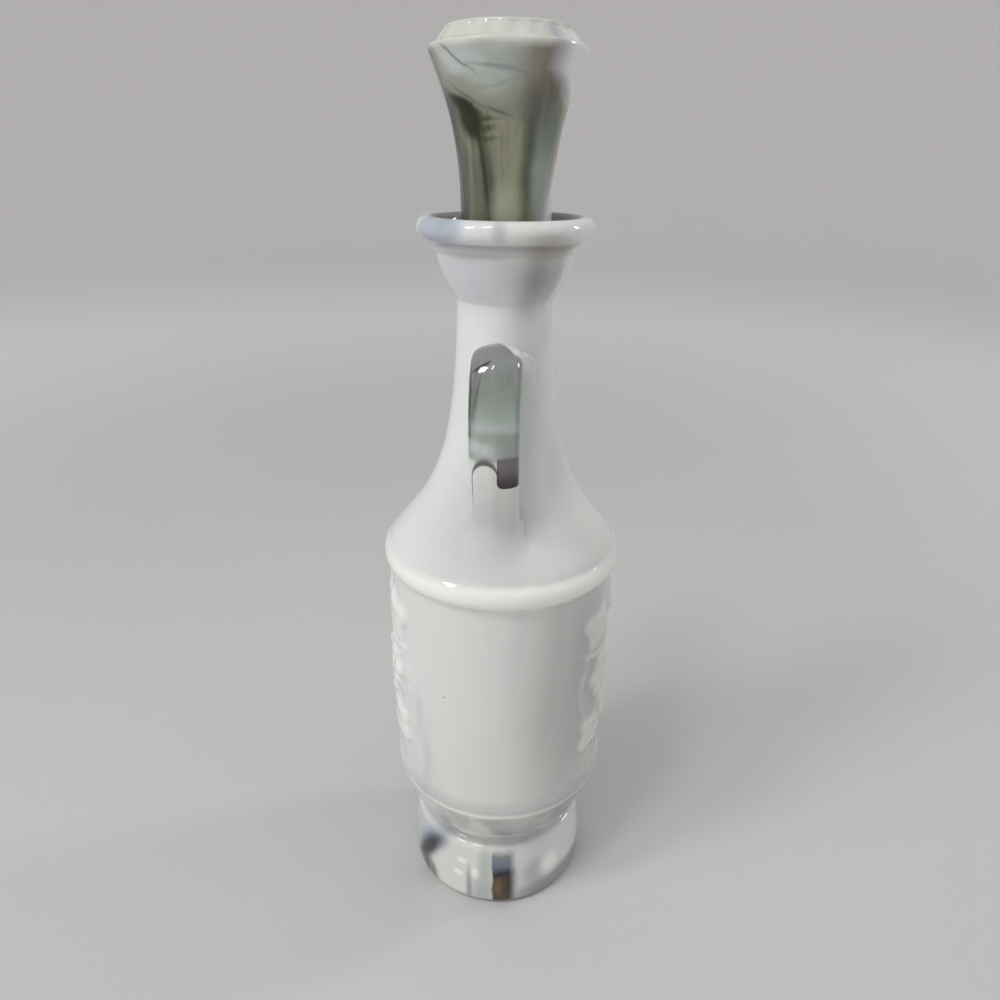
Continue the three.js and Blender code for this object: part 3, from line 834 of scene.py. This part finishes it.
def upright_glass(surface, angle, height):
    """The olive and grey glass of the stopper's body, drawn out in upright streaks."""
    fine = surface.noise(190, detail=4, stretch=(1, 1, 0.06), distortion=0.3)
    broad = surface.noise(60, stretch=(1, 1, 0.16), distortion=0.6, shift=(4, 1, 0))
    colour = surface.mix(fine.ramp(0.36, 0.66), OLIVE, KHAKI)
    colour = surface.mix(broad.ramp(0.55, 0.75) * 0.4, colour, SMOKE)
    upright = [
        (SMOKE, 0.8, -76, 300, 25, 60, 0.35),
        (TAUPE, 0.55, -72, 329, 20, 8, 0.6),
        (CHARCOAL, 0.7, -74, 313, 16, 8, 0.7),
        (INK, 0.85, -90, 312, 20, 30, 0.6),
        (CHARCOAL, 0.55, -49, 297, 6, 15, 0.7),
        (CHARCOAL, 0.65, -60, 293, 2.4, 9, 0.7, -0.85),
        (PALE_SAGE, 0.35, -66, 297, 1.6, 7, 0.8, -0.85),
        (OLIVE, 0.8, -37, 296, 5.5, 14, 0.7),
        (DARK_OLIVE, 0.6, -21, 297, 11.5, 17, 0.6, -0.25),
        (DARK_OLIVE, 0.8, -22.5, 299, 3, 15, 0.7, -0.4),
        (KHAKI, 0.6, 5, 298, 14, 20, 0.4),
        (PALE_KHAKI, 0.75, 6, 288, 18, 6.5, 0.8),
        (MOSS, 0.75, 30.5, 302, 5, 13, 0.9),
        (SAGE, 0.7, 48, 298, 14, 18, 0.6),
        (DARK_SAGE, 0.5, 50, 311, 26, 6, 0.8),
        (SMOKE, 0.6, 34, 319, 17, 6, 0.8),
        (ROSEWOOD, 0.7, 29, 329, 19, 6, 0.8),
    ]
    colour = surface.marble(colour, angle, height, upright)
    strands = surface.noise(330, stretch=(1, 1, 0.04), shift=(6, 2, 4)).ramp(0.5, 0.7)
    return surface.mix(strands * angle.ramp(25, -5) * 0.4, colour, CHARCOAL)


def veil_glass(surface, angle, height, above, swirl):
    """The pale glass of the veil, darker at its hem."""
    veil = surface.mix(swirl.ramp(0.3, 0.7), REED, PALE_SAGE)
    clouds = [
        (COOL_WHITE, 0.3, -30, 332, 24, 3.5, 0.8),
        (COOL_WHITE, 0.35, -47, 330, 7, 5, 0.8, -2),
        (KHAKI, 0.7, -6, 318.5, 20, 3.5, 0.9),
        (KHAKI, 0.55, -34, 324, 12, 1.6, 0.9, -4),
    ]
    veil = surface.marble(veil, angle, height, clouds)
    return surface.mix(above.ramp(8, 0.5) * 0.85, veil, HEM)


def stopper_knot(surface, colour, angle, height, above):
    """The dark knot that hangs below the veil's edge at the left, and the ripples at its right."""
    blots = [
        (DARK_OLIVE, 0.95, -35, 313.8, 15, 5.4, 0.5, -0.8),
        (DARK_OLIVE, 0.95, -43, 319, 13, 3.2, 0.6, -3),
        (DARK_OLIVE, 0.6, -13, 314.6, 12, 0.7, 0.8),
        (DARK_OLIVE, 0.6, -15, 312, 8, 0.9, 0.9),
        (DARK_OLIVE, 0.5, -14, 309.2, 9, 0.7, 0.9),
    ]
    knotted = surface.marble(colour, angle, height, blots)
    return surface.mix(above.ramp(1.2, -0.8), colour, knotted)


def stopper_threads(surface, colour, angle, height):
    """Thin dark threads drawn out across the veil. fall is how far one drops for each degree to the right."""
    threads = [
        (CHARCOAL, 0.6, -41, 331.3, 16, 0.5, 0.27),
        (SLATE, 0.6, -4, 327.4, 24, 0.6, 0.05),
        (SLATE, 0.4, -8, 323, 20, 0.5, -0.08),
        (CHARCOAL, 0.5, -34, 320.6, 15, 0.5, 0.2),
        (CHARCOAL, 0.5, -4, 316.4, 11, 0.5, 0.1),
    ]
    for glass, strength, across, along, half_length, half_thickness, fall in threads:
        level = height + (angle - across) * fall
        line = (glass, strength, across, along, half_length, half_thickness, THREAD_SOFTNESS)
        colour = surface.marble(colour, angle, level, [line])
    return colour


def stopper_glass():
    """Olive and grey marbled glass with upright streaks, paling to white at the crown and on one flank."""
    surface = Surface("stopper_glass")
    angle = surface.angle().wobble(surface.noise(55, detail=4, distortion=1.6, shift=(1, 6, 3)), 4)
    height = surface.height().wobble(surface.noise(65, detail=4, distortion=1.2), 1.8)
    swirl = surface.noise(70, stretch=(1, 1, 1.6), distortion=0.9, shift=(7, 3, 1))
    above = stopper_veil(surface, angle, height)
    colour = upright_glass(surface, angle, height)
    colour = stopper_knot(surface, colour, angle, height, above)
    shown = above.ramp(-0.9, 1.6) * angle.ramp(-74, -54) * angle.ramp(36, 0)
    colour = surface.mix(shown, colour, veil_glass(surface, angle, height, above, swirl))
    colour = stopper_threads(surface, colour, angle, height)
    crown = surface.mix(swirl.ramp(0.4, 0.8) * 0.4, PALE_CROWN, WHITE)
    colour = surface.mix(height.ramp(332, 334.5), colour, crown)
    past = stopper_flank(angle, height)
    flank = surface.mix(past.ramp(0, 16), DUSK, WHITE)
    under_top = surface.height().ramp(STOPPER_TOP - 0.6, STOPPER_TOP - 2.6)
    shown = past.ramp(-14, 6) * angle.ramp(175, 160) * under_top
    colour = surface.mix(shown, colour, flank)
    return surface.finish_glass(colour, roughness=0.03, ripple=0.4, gloss=0.3)


def cork():
    """Natural cork: warm tan with darker grain and small dark pores."""
    surface = Surface("cork")
    grain = surface.noise(260, detail=5, stretch=(1, 1, 0.6))
    colour = surface.mix(grain.ramp(0.35, 0.65), DARK_CORK, PALE_CORK)
    spots = {"Vector": surface.place, "Scale": 420}
    pores = surface.node("ShaderNodeTexVoronoi", spots, "Distance", feature="F1")
    sparse = pores.ramp(0.26, 0.12) * surface.noise(300, shift=(2, 0, 1)).ramp(0.48, 0.6)
    colour = surface.mix(sparse, colour, CORK_PORE)
    return surface.finish({
        "Base Color": colour,
        "Roughness": 0.85,
        "Normal": surface.bump(grain - sparse, 0.6, 0.4),
    })


# Raised vine on the barrel's flanks. Across runs along the barrel's girth from the flank's middle, negative
# towards the handle, and up runs from the vine's middle height.
VINE_MIDDLE = BARREL_BOTTOM + 49.7
VINE_HALF_HEIGHT = 41.0
VINE_HALF_ANGLE = 44.0
VINE_ROW_STEP = 0.7
VINE_COLUMN_STEP = 0.82
VINE_POLISH = 4
STEM_RUN = 58.0
STEM_RISE = 15.5
STEM_WAVE = 4.0
STEM_WAVE_LENGTH = 66.0
STEM_WIDTH = 3.4
STEM_PROUD = 1.5
STALK_WIDTH = 2.2
TENDRIL_WIDTH = 1.6
TENDRIL_PROUD = 0.9
TENDRIL_TURNS = 1.4
TENDRIL_WIND = 0.8
LEAF_PROUD = 1.9
LEAF_BEVEL = 2.2
LEAF_BROADNESS = 0.64
LEAF_POINTEDNESS = 0.18
LEAF_LOBES = 5
LEAF_LOBE_DEPTH = 0.14
LEAF_VEINS = np.radians((0, 70, -70, 140, -140))
LEAF_VEIN_DEPTH = 0.4
LEAF_VEIN_WIDTH = 0.8
GRAPE_RADIUS = 4.3
GRAPE_PROUD = 2.35
GRAPE_SPACING = 7.7
GRAPE_ROW_STEP = 6.6
BUNCH_ROWS = (2, 3, 2, 1)

Leaf = namedtuple("Leaf", "across up length tip")
VINE_LEAVES = (
    Leaf(-18.5, 24.0, 18.0, 155),
    Leaf(1.0, 25.5, 16.0, 85),
    Leaf(19.0, 22.5, 17.0, 20),
    Leaf(-19.5, -25.0, 17.0, 220),
    Leaf(1.0, -26.0, 16.0, 275),
    Leaf(22.5, -28.0, 13.5, 320),
)
VINE_BUNCHES = ((-14.0, 6.0), (15.5, 1.0))
VINE_STALKS = (
    ((-14, 12), (-14, 6)),
    ((15, 19), (15.5, 1)),
    ((-28, 12), (-31, -6), (-26, -20)),
    ((0, 16), (0.5, -4), (1, -18)),
)

# Where a tendril starts, its size and the sense in which it winds
VINE_TENDRILS = (((-28, 2), 3.5, 1), ((-3, -14), 4.0, -1), ((32, -8), 3.5, 1))
WALL_TOLERANCE = 0.05
PLAIN_HALF_ANGLE = 45.0
PLAIN_STEP = 2.25


def smooth_step(value):
    share = np.clip(value, 0, 1)
    return share * share * (3 - 2 * share)


def leaf_height(leaf, across, up):
    """A lobed leaf with a bevelled edge and its veins pressed in."""
    ds, dt = across - leaf.across, up - leaf.up
    far = np.hypot(ds, dt)
    turn = np.arctan2(dt, ds) - math.radians(leaf.tip)
    body = LEAF_BROADNESS + LEAF_POINTEDNESS * np.cos(turn)
    edge = leaf.length * body * (1 - LEAF_LOBE_DEPTH * (1 - np.cos(LEAF_LOBES * turn)))
    height = LEAF_PROUD * smooth_step((edge - far) / LEAF_BEVEL)
    for vein in LEAF_VEINS:
        off = far * np.sin(turn - vein)
        ahead = np.cos(turn - vein) > 0
        groove = LEAF_VEIN_DEPTH * np.exp(-(off / LEAF_VEIN_WIDTH) ** 2)
        height = height - np.where(ahead, groove * smooth_step((edge - far) / LEAF_BEVEL), 0)
    return np.maximum(height, 0)


def bunch_height(bunch, across, up):
    height = np.zeros(np.broadcast(across, up).shape)
    for row, count in enumerate(BUNCH_ROWS):
        for k in range(count):
            centre = bunch[0] + (k - (count - 1) / 2) * GRAPE_SPACING
            level = bunch[1] - row * GRAPE_ROW_STEP
            far = np.hypot(across - centre, up - level) / GRAPE_RADIUS
            height = np.maximum(height, GRAPE_PROUD * np.sqrt(np.clip(1 - far ** 2, 0, 1)))
    return height


def stroke_height(points, width, proud, across, up):
    """A rounded ridge along a line of points."""
    nearest = np.full(np.broadcast(across, up).shape, np.inf)
    for (s0, t0), (s1, t1) in zip(points[:-1], points[1:]):
        ds, dt = s1 - s0, t1 - t0
        share = np.clip(((across - s0) * ds + (up - t0) * dt) / (ds * ds + dt * dt), 0, 1)
        nearest = np.minimum(nearest, np.hypot(across - s0 - share * ds, up - t0 - share * dt))
    return proud * np.sqrt(np.clip(1 - (2 * nearest / width) ** 2, 0, 1))


def tendril(start, size, sense):
    """A curl that winds in from its start."""
    steps = np.linspace(0, 1, 26)
    spin = sense * 2 * math.pi * TENDRIL_TURNS * steps
    reach = size * (1 - TENDRIL_WIND * steps)
    centre = (start[0] - size, start[1])
    return [(centre[0] + r * math.cos(t), centre[1] + r * math.sin(t)) for r, t in zip(reach, spin)]


def vine_height(across, up):
    run = np.linspace(-STEM_RUN / 2, STEM_RUN / 2, 25)
    stem = [(s, STEM_RISE + STEM_WAVE * math.sin(2 * math.pi * s / STEM_WAVE_LENGTH)) for s in run]
    forms = [stroke_height(stem, STEM_WIDTH, STEM_PROUD, across, up)]
    forms += [stroke_height(stalk, STALK_WIDTH, STEM_PROUD, across, up) for stalk in VINE_STALKS]
    curls = [tendril(*row) for row in VINE_TENDRILS]
    forms += [stroke_height(curl, TENDRIL_WIDTH, TENDRIL_PROUD, across, up) for curl in curls]
    forms += [leaf_height(leaf, across, up) for leaf in VINE_LEAVES]
    forms += [bunch_height(bunch, across, up) for bunch in VINE_BUNCHES]
    return np.maximum.reduce(forms)


def polish(relief):
    """The raised forms with their edges melted into the wall and into each other."""
    for _ in range(VINE_POLISH):
        for axis in (0, 1):
            relief = (np.roll(relief, 1, axis) + 2 * relief + np.roll(relief, -1, axis)) / 4
    return relief


def barrel_shape(angle, radius, height):
    """The barrel's radius with the vine raised on its two flanks."""
    across = (np.abs(angle) - 90) * math.radians(1) * BARREL_RADIUS
    up = height - VINE_MIDDLE
    on_wall = np.abs(radius - BARREL_RADIUS) < WALL_TOLERANCE
    on_panel = (np.abs(up) < VINE_HALF_HEIGHT) & (np.abs(np.abs(angle) - 90) < VINE_HALF_ANGLE)
    relief = polish(np.where(on_wall & on_panel, vine_height(across, up), 0))
    return radius + np.where(on_wall, relief, 0)


def with_vine_rows(profile):
    """The profile with close rows on the barrel's outside, where the vine is raised."""
    levels = np.arange(VINE_MIDDLE - VINE_HALF_HEIGHT, VINE_MIDDLE + VINE_HALF_HEIGHT, VINE_ROW_STEP)
    on_wall = np.abs(profile[:, 0] - BARREL_RADIUS) < WALL_TOLERANCE
    below = int(np.flatnonzero(on_wall & (profile[:, 1] < levels[0]))[-1])
    above = int(np.flatnonzero(on_wall & (profile[:, 1] > levels[-1]))[0])
    rows = np.column_stack([np.full(len(levels), BARREL_RADIUS), levels])
    return np.vstack([profile[:below + 1], rows, profile[above:]])


def build_bottle(material):
    profile = with_vine_rows(thin(melt(bottle_profile(), GLASS_MELT), BOTTLE_TOLERANCE))
    step = math.degrees(VINE_COLUMN_STEP / BARREL_RADIUS)
    fine = np.arange(90 - VINE_HALF_ANGLE, 90 + VINE_HALF_ANGLE, step)
    plain = np.arange(-PLAIN_HALF_ANGLE, PLAIN_HALF_ANGLE + PLAIN_STEP / 2, PLAIN_STEP)
    angles = np.concatenate([-fine[::-1], plain, fine, 180 + plain])
    angles = np.unique(np.round(np.where(angles > 180, angles - 360, angles), 3))
    shape = turned(profile, angles, barrel_shape)
    return add_piece("decanter_bottle", shape, material, "bottle", "glass_bottle")


def handle_path(steps):
    """Points and directions along the middle of the strap, as (out from the axis, height).

    The path is carried straight on at both ends, so that the whole section is in the glass there.
    """
    root = (NECK_RADIUS - WALL, NECK_TOP - HANDLE_DROP)
    sweep = np.array(shoulder_sweep())[::-1]
    landing = float(np.interp(HANDLE_LANDING_RADIUS, sweep[:, 0], sweep[:, 1]))
    reach = HANDLE_REACH - HANDLE_CROWN
    # Two pulls as far out as this bring the middle of the curve to reach.
    pull = (8 * reach - root[0] - HANDLE_LANDING_RADIUS) / 6
    path = np.array(curve([
        root,
        (pull, root[1] + HANDLE_ARCH),
        (pull, landing + HANDLE_LANDING_RISE),
        (HANDLE_LANDING_RADIUS, landing - WALL),
    ], steps))
    onward = np.linspace(0, HANDLE_RUN_ON, 40)[1:, None]
    first, last = path[0] - path[1], path[-1] - path[-2]
    before = path[0] + onward[::-1] * first / np.hypot(*first)
    beyond = path[-1] + onward * last / np.hypot(*last)
    points = np.vstack([before, path, beyond])
    along = np.gradient(points, axis=0)
    return points, along / np.linalg.norm(along, axis=1)[:, None]


def strap_section():
    """The strap's crowned section as (across, outward) points, with a low ridge down its outer face."""
    turns = np.linspace(0, 2 * math.pi, 361)
    round_off = 2 / HANDLE_SQUARENESS
    across = HANDLE_WIDTH / 2 * np.sign(np.cos(turns)) * np.abs(np.cos(turns)) ** round_off
    crown = np.where(np.sin(turns) > 0, HANDLE_CROWN, HANDLE_INNER_CROWN)
    outward = crown * np.sign(np.sin(turns)) * np.abs(np.sin(turns)) ** round_off
    ridge = HANDLE_RIDGE * np.clip(1 - np.abs(across) / HANDLE_RIDGE_WIDTH, 0, 1)
    outward = outward + np.where(outward > 0, ridge, 0)
    return melt(np.column_stack([across, outward]), HANDLE_STEP / 2, HANDLE_STEP)[:-1]


def height_over_glass(points):
    """How far points lie outside the shoulder and neck, and the way out from the glass there."""
    sweep = np.array(shoulder_sweep(400))
    out = np.hypot(points[..., 0], points[..., 1])
    radius = np.interp(points[..., 2], sweep[:, 1], sweep[:, 0])
    slope = np.interp(points[..., 2], sweep[:, 1], np.gradient(sweep[:, 0], sweep[:, 1]))
    lean = np.sqrt(1 + slope ** 2)
    normal = np.stack([points[..., 0] / out / lean, points[..., 1] / out / lean, -slope / lean], axis=-1)
    return (out - radius) / lean, normal


def set_over_glass(points, height):
    """The points moved straight out or in until they lie at a height over the glass."""
    for _ in range(4):
        away, normal = height_over_glass(points)
        points = points + (height - away)[..., None] * normal
    return points


def crossings(lines, level):
    """Where each line first comes within a level over the glass, counted in steps along it."""
    away = height_over_glass(lines)[0]
    every = np.arange(lines.shape[1])
    after = np.argmax(away < level, axis=0)
    before, beyond = away[after - 1, every], away[after, every]
    return after - 1 + (before - level) / (before - beyond)


def along_lines(lines, steps):
    """The points of the lines at steps along them."""
    every = np.arange(lines.shape[1])
    low = np.floor(steps).astype(int)
    share = (steps - low)[..., None]
    return lines[low, every] * (1 - share) + lines[low + 1, every] * share


def round_landings(meets, section):
    """Where the lines of the upper root land: on an oval pad that hangs a little below the strap."""
    hub = meets.mean(axis=0) - [0, 0, HANDLE_PAD_DROP]
    turn = np.arctan2(section[:, 1] / HANDLE_CROWN, section[:, 0] / HANDLE_WIDTH * 2)
    upward = np.where(np.sin(turn) > 0, HANDLE_PAD_RISE, HANDLE_PAD_FALL) * np.sin(turn)
    return hub, np.column_stack([HANDLE_PAD_HALF_WIDTH * np.cos(turn), np.zeros(len(turn)), upward])


def spread_landings(meets, section):
    """Where the lines of the lower root land: just beyond the strap, and further beyond its outer face."""
    hub = meets.mean(axis=0)
    sideways = meets - hub
    normal = height_over_glass(hub)[1]
    sideways = sideways - (sideways @ normal)[:, None] * normal
    width = np.linalg.norm(sideways, axis=1)[:, None]
    outer = np.clip(section[:, 1:2] / HANDLE_CROWN, 0, 1) ** 2
    return hub, sideways / width * (width + HANDLE_LOWER_SPREAD + HANDLE_LOWER_RUNOUT * outer)


def strap_root(lines, fillet, swell, landings):
    """One root of the strap, as rings from where the strap ends to the middle of its hidden foot.

    The lines run along the strap into the glass. At the fillet's height over the glass each bends round into
    the surface, where it lands beside the strap, and a hidden skirt carries it on just under the glass.
    """
    section = strap_section()
    starts = along_lines(lines, crossings(lines, fillet))
    meets = along_lines(lines, crossings(lines, 0))
    hub, reach = landings(meets, section)
    lands = set_over_glass(hub + reach, 0)
    swollen = set_over_glass(hub + reach, swell)
    rings = np.array(curve([starts, meets, swollen, lands], HANDLE_FILLET_STEPS))
    lift = HANDLE_FILLET_LIFT * np.linspace(1, 0, len(rings))[:, None]
    rings = set_over_glass(rings, np.maximum(height_over_glass(rings)[0], lift))
    outward = reach / np.linalg.norm(reach, axis=1)[:, None]
    skirt = [set_over_glass(lands + outward * further, depth) for further, depth in HANDLE_APRON]
    foot = [hub + (skirt[-1] - hub) * share for share in HANDLE_FOOT_RINGS]
    sunk = [set_over_glass(ring, -HANDLE_FOOT_DEPTH) for ring in foot]
    return [*rings[1:], *skirt, *sunk], hub


def build_handle(material):
    points, along = handle_path(400)
    section = strap_section()
    middle = np.column_stack([np.zeros(len(points)), -points[:, 0], points[:, 1]])
    outward = np.column_stack([np.zeros(len(points)), along[:, 1], along[:, 0]])
    lines = middle[:, None, :] + section[None, :, 1:2] * outward[:, None, :]
    lines[:, :, 0] += section[None, :, 0]
    half = len(points) // 2
    upper, upper_hub = strap_root(lines[half::-1], HANDLE_UPPER_FILLET, HANDLE_PAD_SWELL, round_landings)
    lower, lower_hub = strap_root(lines[half:], HANDLE_LOWER_FILLET, 0.0, spread_landings)
    first = half - crossings(lines[half::-1], HANDLE_UPPER_FILLET)
    last = half + crossings(lines[half:], HANDLE_LOWER_FILLET)
    strap = along_lines(lines, np.linspace(first, last, HANDLE_STATIONS))
    rings = np.array([*upper[::-1], *strap, *lower])
    hubs = set_over_glass(np.array([upper_hub, lower_hub]), -HANDLE_FOOT_DEPTH)
    stations, count = rings.shape[:2]
    vertices = np.vstack([rings.reshape(-1, 3), hubs])
    first_hub, last_hub = stations * count, stations * count + 1
    last_ring = (stations - 1) * count
    faces = []
    for k in range(count):
        after = (k + 1) % count
        faces.append([first_hub, k, after])
        faces.append([last_hub, last_ring + after, last_ring + k])
        for i in range(0, last_ring, count):
            faces.append([i + k, i + count + k, i + count + after, i + after])
    return add_piece("decanter_handle", (vertices, faces), material, "bottle", "neck_handle")


def crown_shape(angle, radius, height):
    """The stopper's radius with scalloped flutes pressed into the crown's band."""
    phase = (angle * CROWN_FLUTES / 360) % 1
    scallop = (1 - np.cos(2 * math.pi * phase)) / 2
    low, high = STOPPER_EDGE + CROWN_BAND_FOOT, STOPPER_TOP - CROWN_BAND_TOP
    band = smooth_step((height - low) / CROWN_BAND_FADE) * smooth_step((high - height) / CROWN_BAND_FADE)
    on_band = (radius > CROWN_TOP_RADIUS - 2 * CROWN_ROUND) & (height > low)
    return radius - np.where(on_band, CROWN_FLUTE_DEPTH * scallop * band, 0)


def build_stopper(material):
    profile = thin(melt(stopper_profile(), STOPPER_MELT), SMALL_TOLERANCE)
    profile[-1] = profile[0]
    columns = CROWN_FLUTES * COLUMNS_A_FLUTE
    angles = np.arange(columns) * 360 / columns - 180
    shape = turned(profile, angles, crown_shape)
    return add_piece("decanter_stopper", shape, material, "stopper", "glass_stopper")


def build_sleeve(material):
    top = STOPPER_UNDERSIDE - FIT_GAP
    bottom = top - CORK_LENGTH
    inside = SHANK_RADIUS + FIT_GAP
    profile = [
        (inside, bottom),
        (SLEEVE_RADIUS - CORK_TAPER - CORK_CHAMFER, bottom),
        (SLEEVE_RADIUS - CORK_TAPER, bottom + CORK_CHAMFER),
        (SLEEVE_RADIUS, top - CORK_CHAMFER),
        (SLEEVE_RADIUS - CORK_CHAMFER, top),
        (inside, top),
        (inside, bottom),
    ]
    rounded = thin(melt(profile, CORK_MELT), SMALL_TOLERANCE)
    rounded[-1] = rounded[0]
    shape = turned(rounded, np.arange(0, 360, CORK_STEP))
    return add_piece("stopper_cork", shape, material, "sleeve", "cork_sleeve")


# Stage: a round pale sweep, soft panels that leave no glint, and small lamps for the sparks on the glass
STAGE_RADIUS = 2200.0
STAGE_BEND = 1800.0
STAGE_HEIGHT = 4200.0
STAGE_STEP = 5.0
STAGE_NEAR = 0.2 * STAGE_RADIUS
STAGE_FAR = 0.65 * STAGE_RADIUS


def pale_sweep():
    """Matt pale grey near the decanter, paling to white further out."""
    surface = Surface("pale_sweep")
    pale = surface.mix(surface.noise(3, detail=2), srgb(210, 208, 205), srgb(204, 202, 201))
    far = surface.radius().ramp(STAGE_NEAR, STAGE_FAR)
    return surface.finish({"Base Color": surface.mix(far, pale, srgb(248, 245, 244)), "Roughness": 0.9})


def build_stage():
    bend = arc((STAGE_RADIUS, STAGE_BEND), STAGE_BEND, STAGE_BEND, -90, 0, 16)
    profile = [(0, 0), (STAGE_RADIUS / 2, 0), *bend, (STAGE_RADIUS + STAGE_BEND, STAGE_HEIGHT)]
    mesh_object("sweep", turned(profile, np.arange(0, 360, STAGE_STEP)), pale_sweep())


Lamp = namedtuple("Lamp", "name azimuth elevation distance width height power glints")
LAMPS = (
    Lamp("key_panel", -52, 26, 2600, 1800, 1800, 16.0, False),
    Lamp("low_panel", -25, 18, 3000, 1800, 1200, 6.4, False),
    Lamp("fill_panel", 80, 30, 3000, 1800, 1800, 3.7, False),
    Lamp("top_panel", 60, 74, 2600, 2000, 2000, 5.2, False),
    Lamp("spark_left", -56, 51, 1100, 150, 250, 2.2, True),
    Lamp("spark_middle", -33, 62, 1100, 130, 200, 1.5, True),
    Lamp("spark_right", 112, 31, 1100, 130, 220, 1.7, True),
)
LAMP_AIM = Vector((0, 0, 170)) * MM
SKY_STRENGTH = 0.43


def build_lights():
    world = bpy.data.worlds.new("studio")
    world.use_nodes = True
    background = world.node_tree.nodes["Background"]
    background.inputs["Color"].default_value = srgb(236, 238, 242)
    background.inputs["Strength"].default_value = SKY_STRENGTH
    bpy.context.scene.world = world
    for lamp in LAMPS:
        light = bpy.data.lights.new(lamp.name, "AREA")
        light.shape = "RECTANGLE"
        light.size = lamp.width * MM
        light.size_y = lamp.height * MM
        light.energy = lamp.power
        turn, rise = math.radians(lamp.azimuth), math.radians(lamp.elevation)
        away = Vector((math.sin(turn) * math.cos(rise), -math.cos(turn) * math.cos(rise), math.sin(rise)))
        holder = scene_object(lamp.name, light)
        holder.location = LAMP_AIM + away * lamp.distance * MM
        holder.rotation_euler = away.to_track_quat("Z", "Y").to_euler()
        holder.visible_glossy = lamp.glints


def build_camera():
    camera = bpy.data.cameras.new("camera")
    camera.sensor_width = SENSOR_WIDTH
    camera.lens = SENSOR_WIDTH * FOCAL_PIXELS / FRAME_PIXELS
    camera.clip_start = CAMERA_NEAREST * MM
    turn = Matrix.Rotation(CAMERA_AZIMUTH, 4, "Z")
    place = Vector((CAMERA_SIDESTEP, -CAMERA_DISTANCE, CAMERA_HEIGHT)) * MM
    tilt = Matrix.Rotation(math.pi / 2 - CAMERA_PITCH, 4, "X")
    roll = Matrix.Rotation(CAMERA_ROLL, 4, "Z")
    holder = scene_object("camera", camera)
    holder.matrix_world = turn @ Matrix.Translation(place) @ tilt @ roll
    bpy.context.scene.camera = holder


bpy.context.scene.view_settings.view_transform = "Standard"
build_camera()
build_lights()
build_stage()
pieces = {
    "opal_glass": build_bottle(opal_glass()),
    "marbled_glass": build_handle(handle_glass()),
    "stopper_glass": build_stopper(stopper_glass()),
    "cork": build_sleeve(cork()),
}
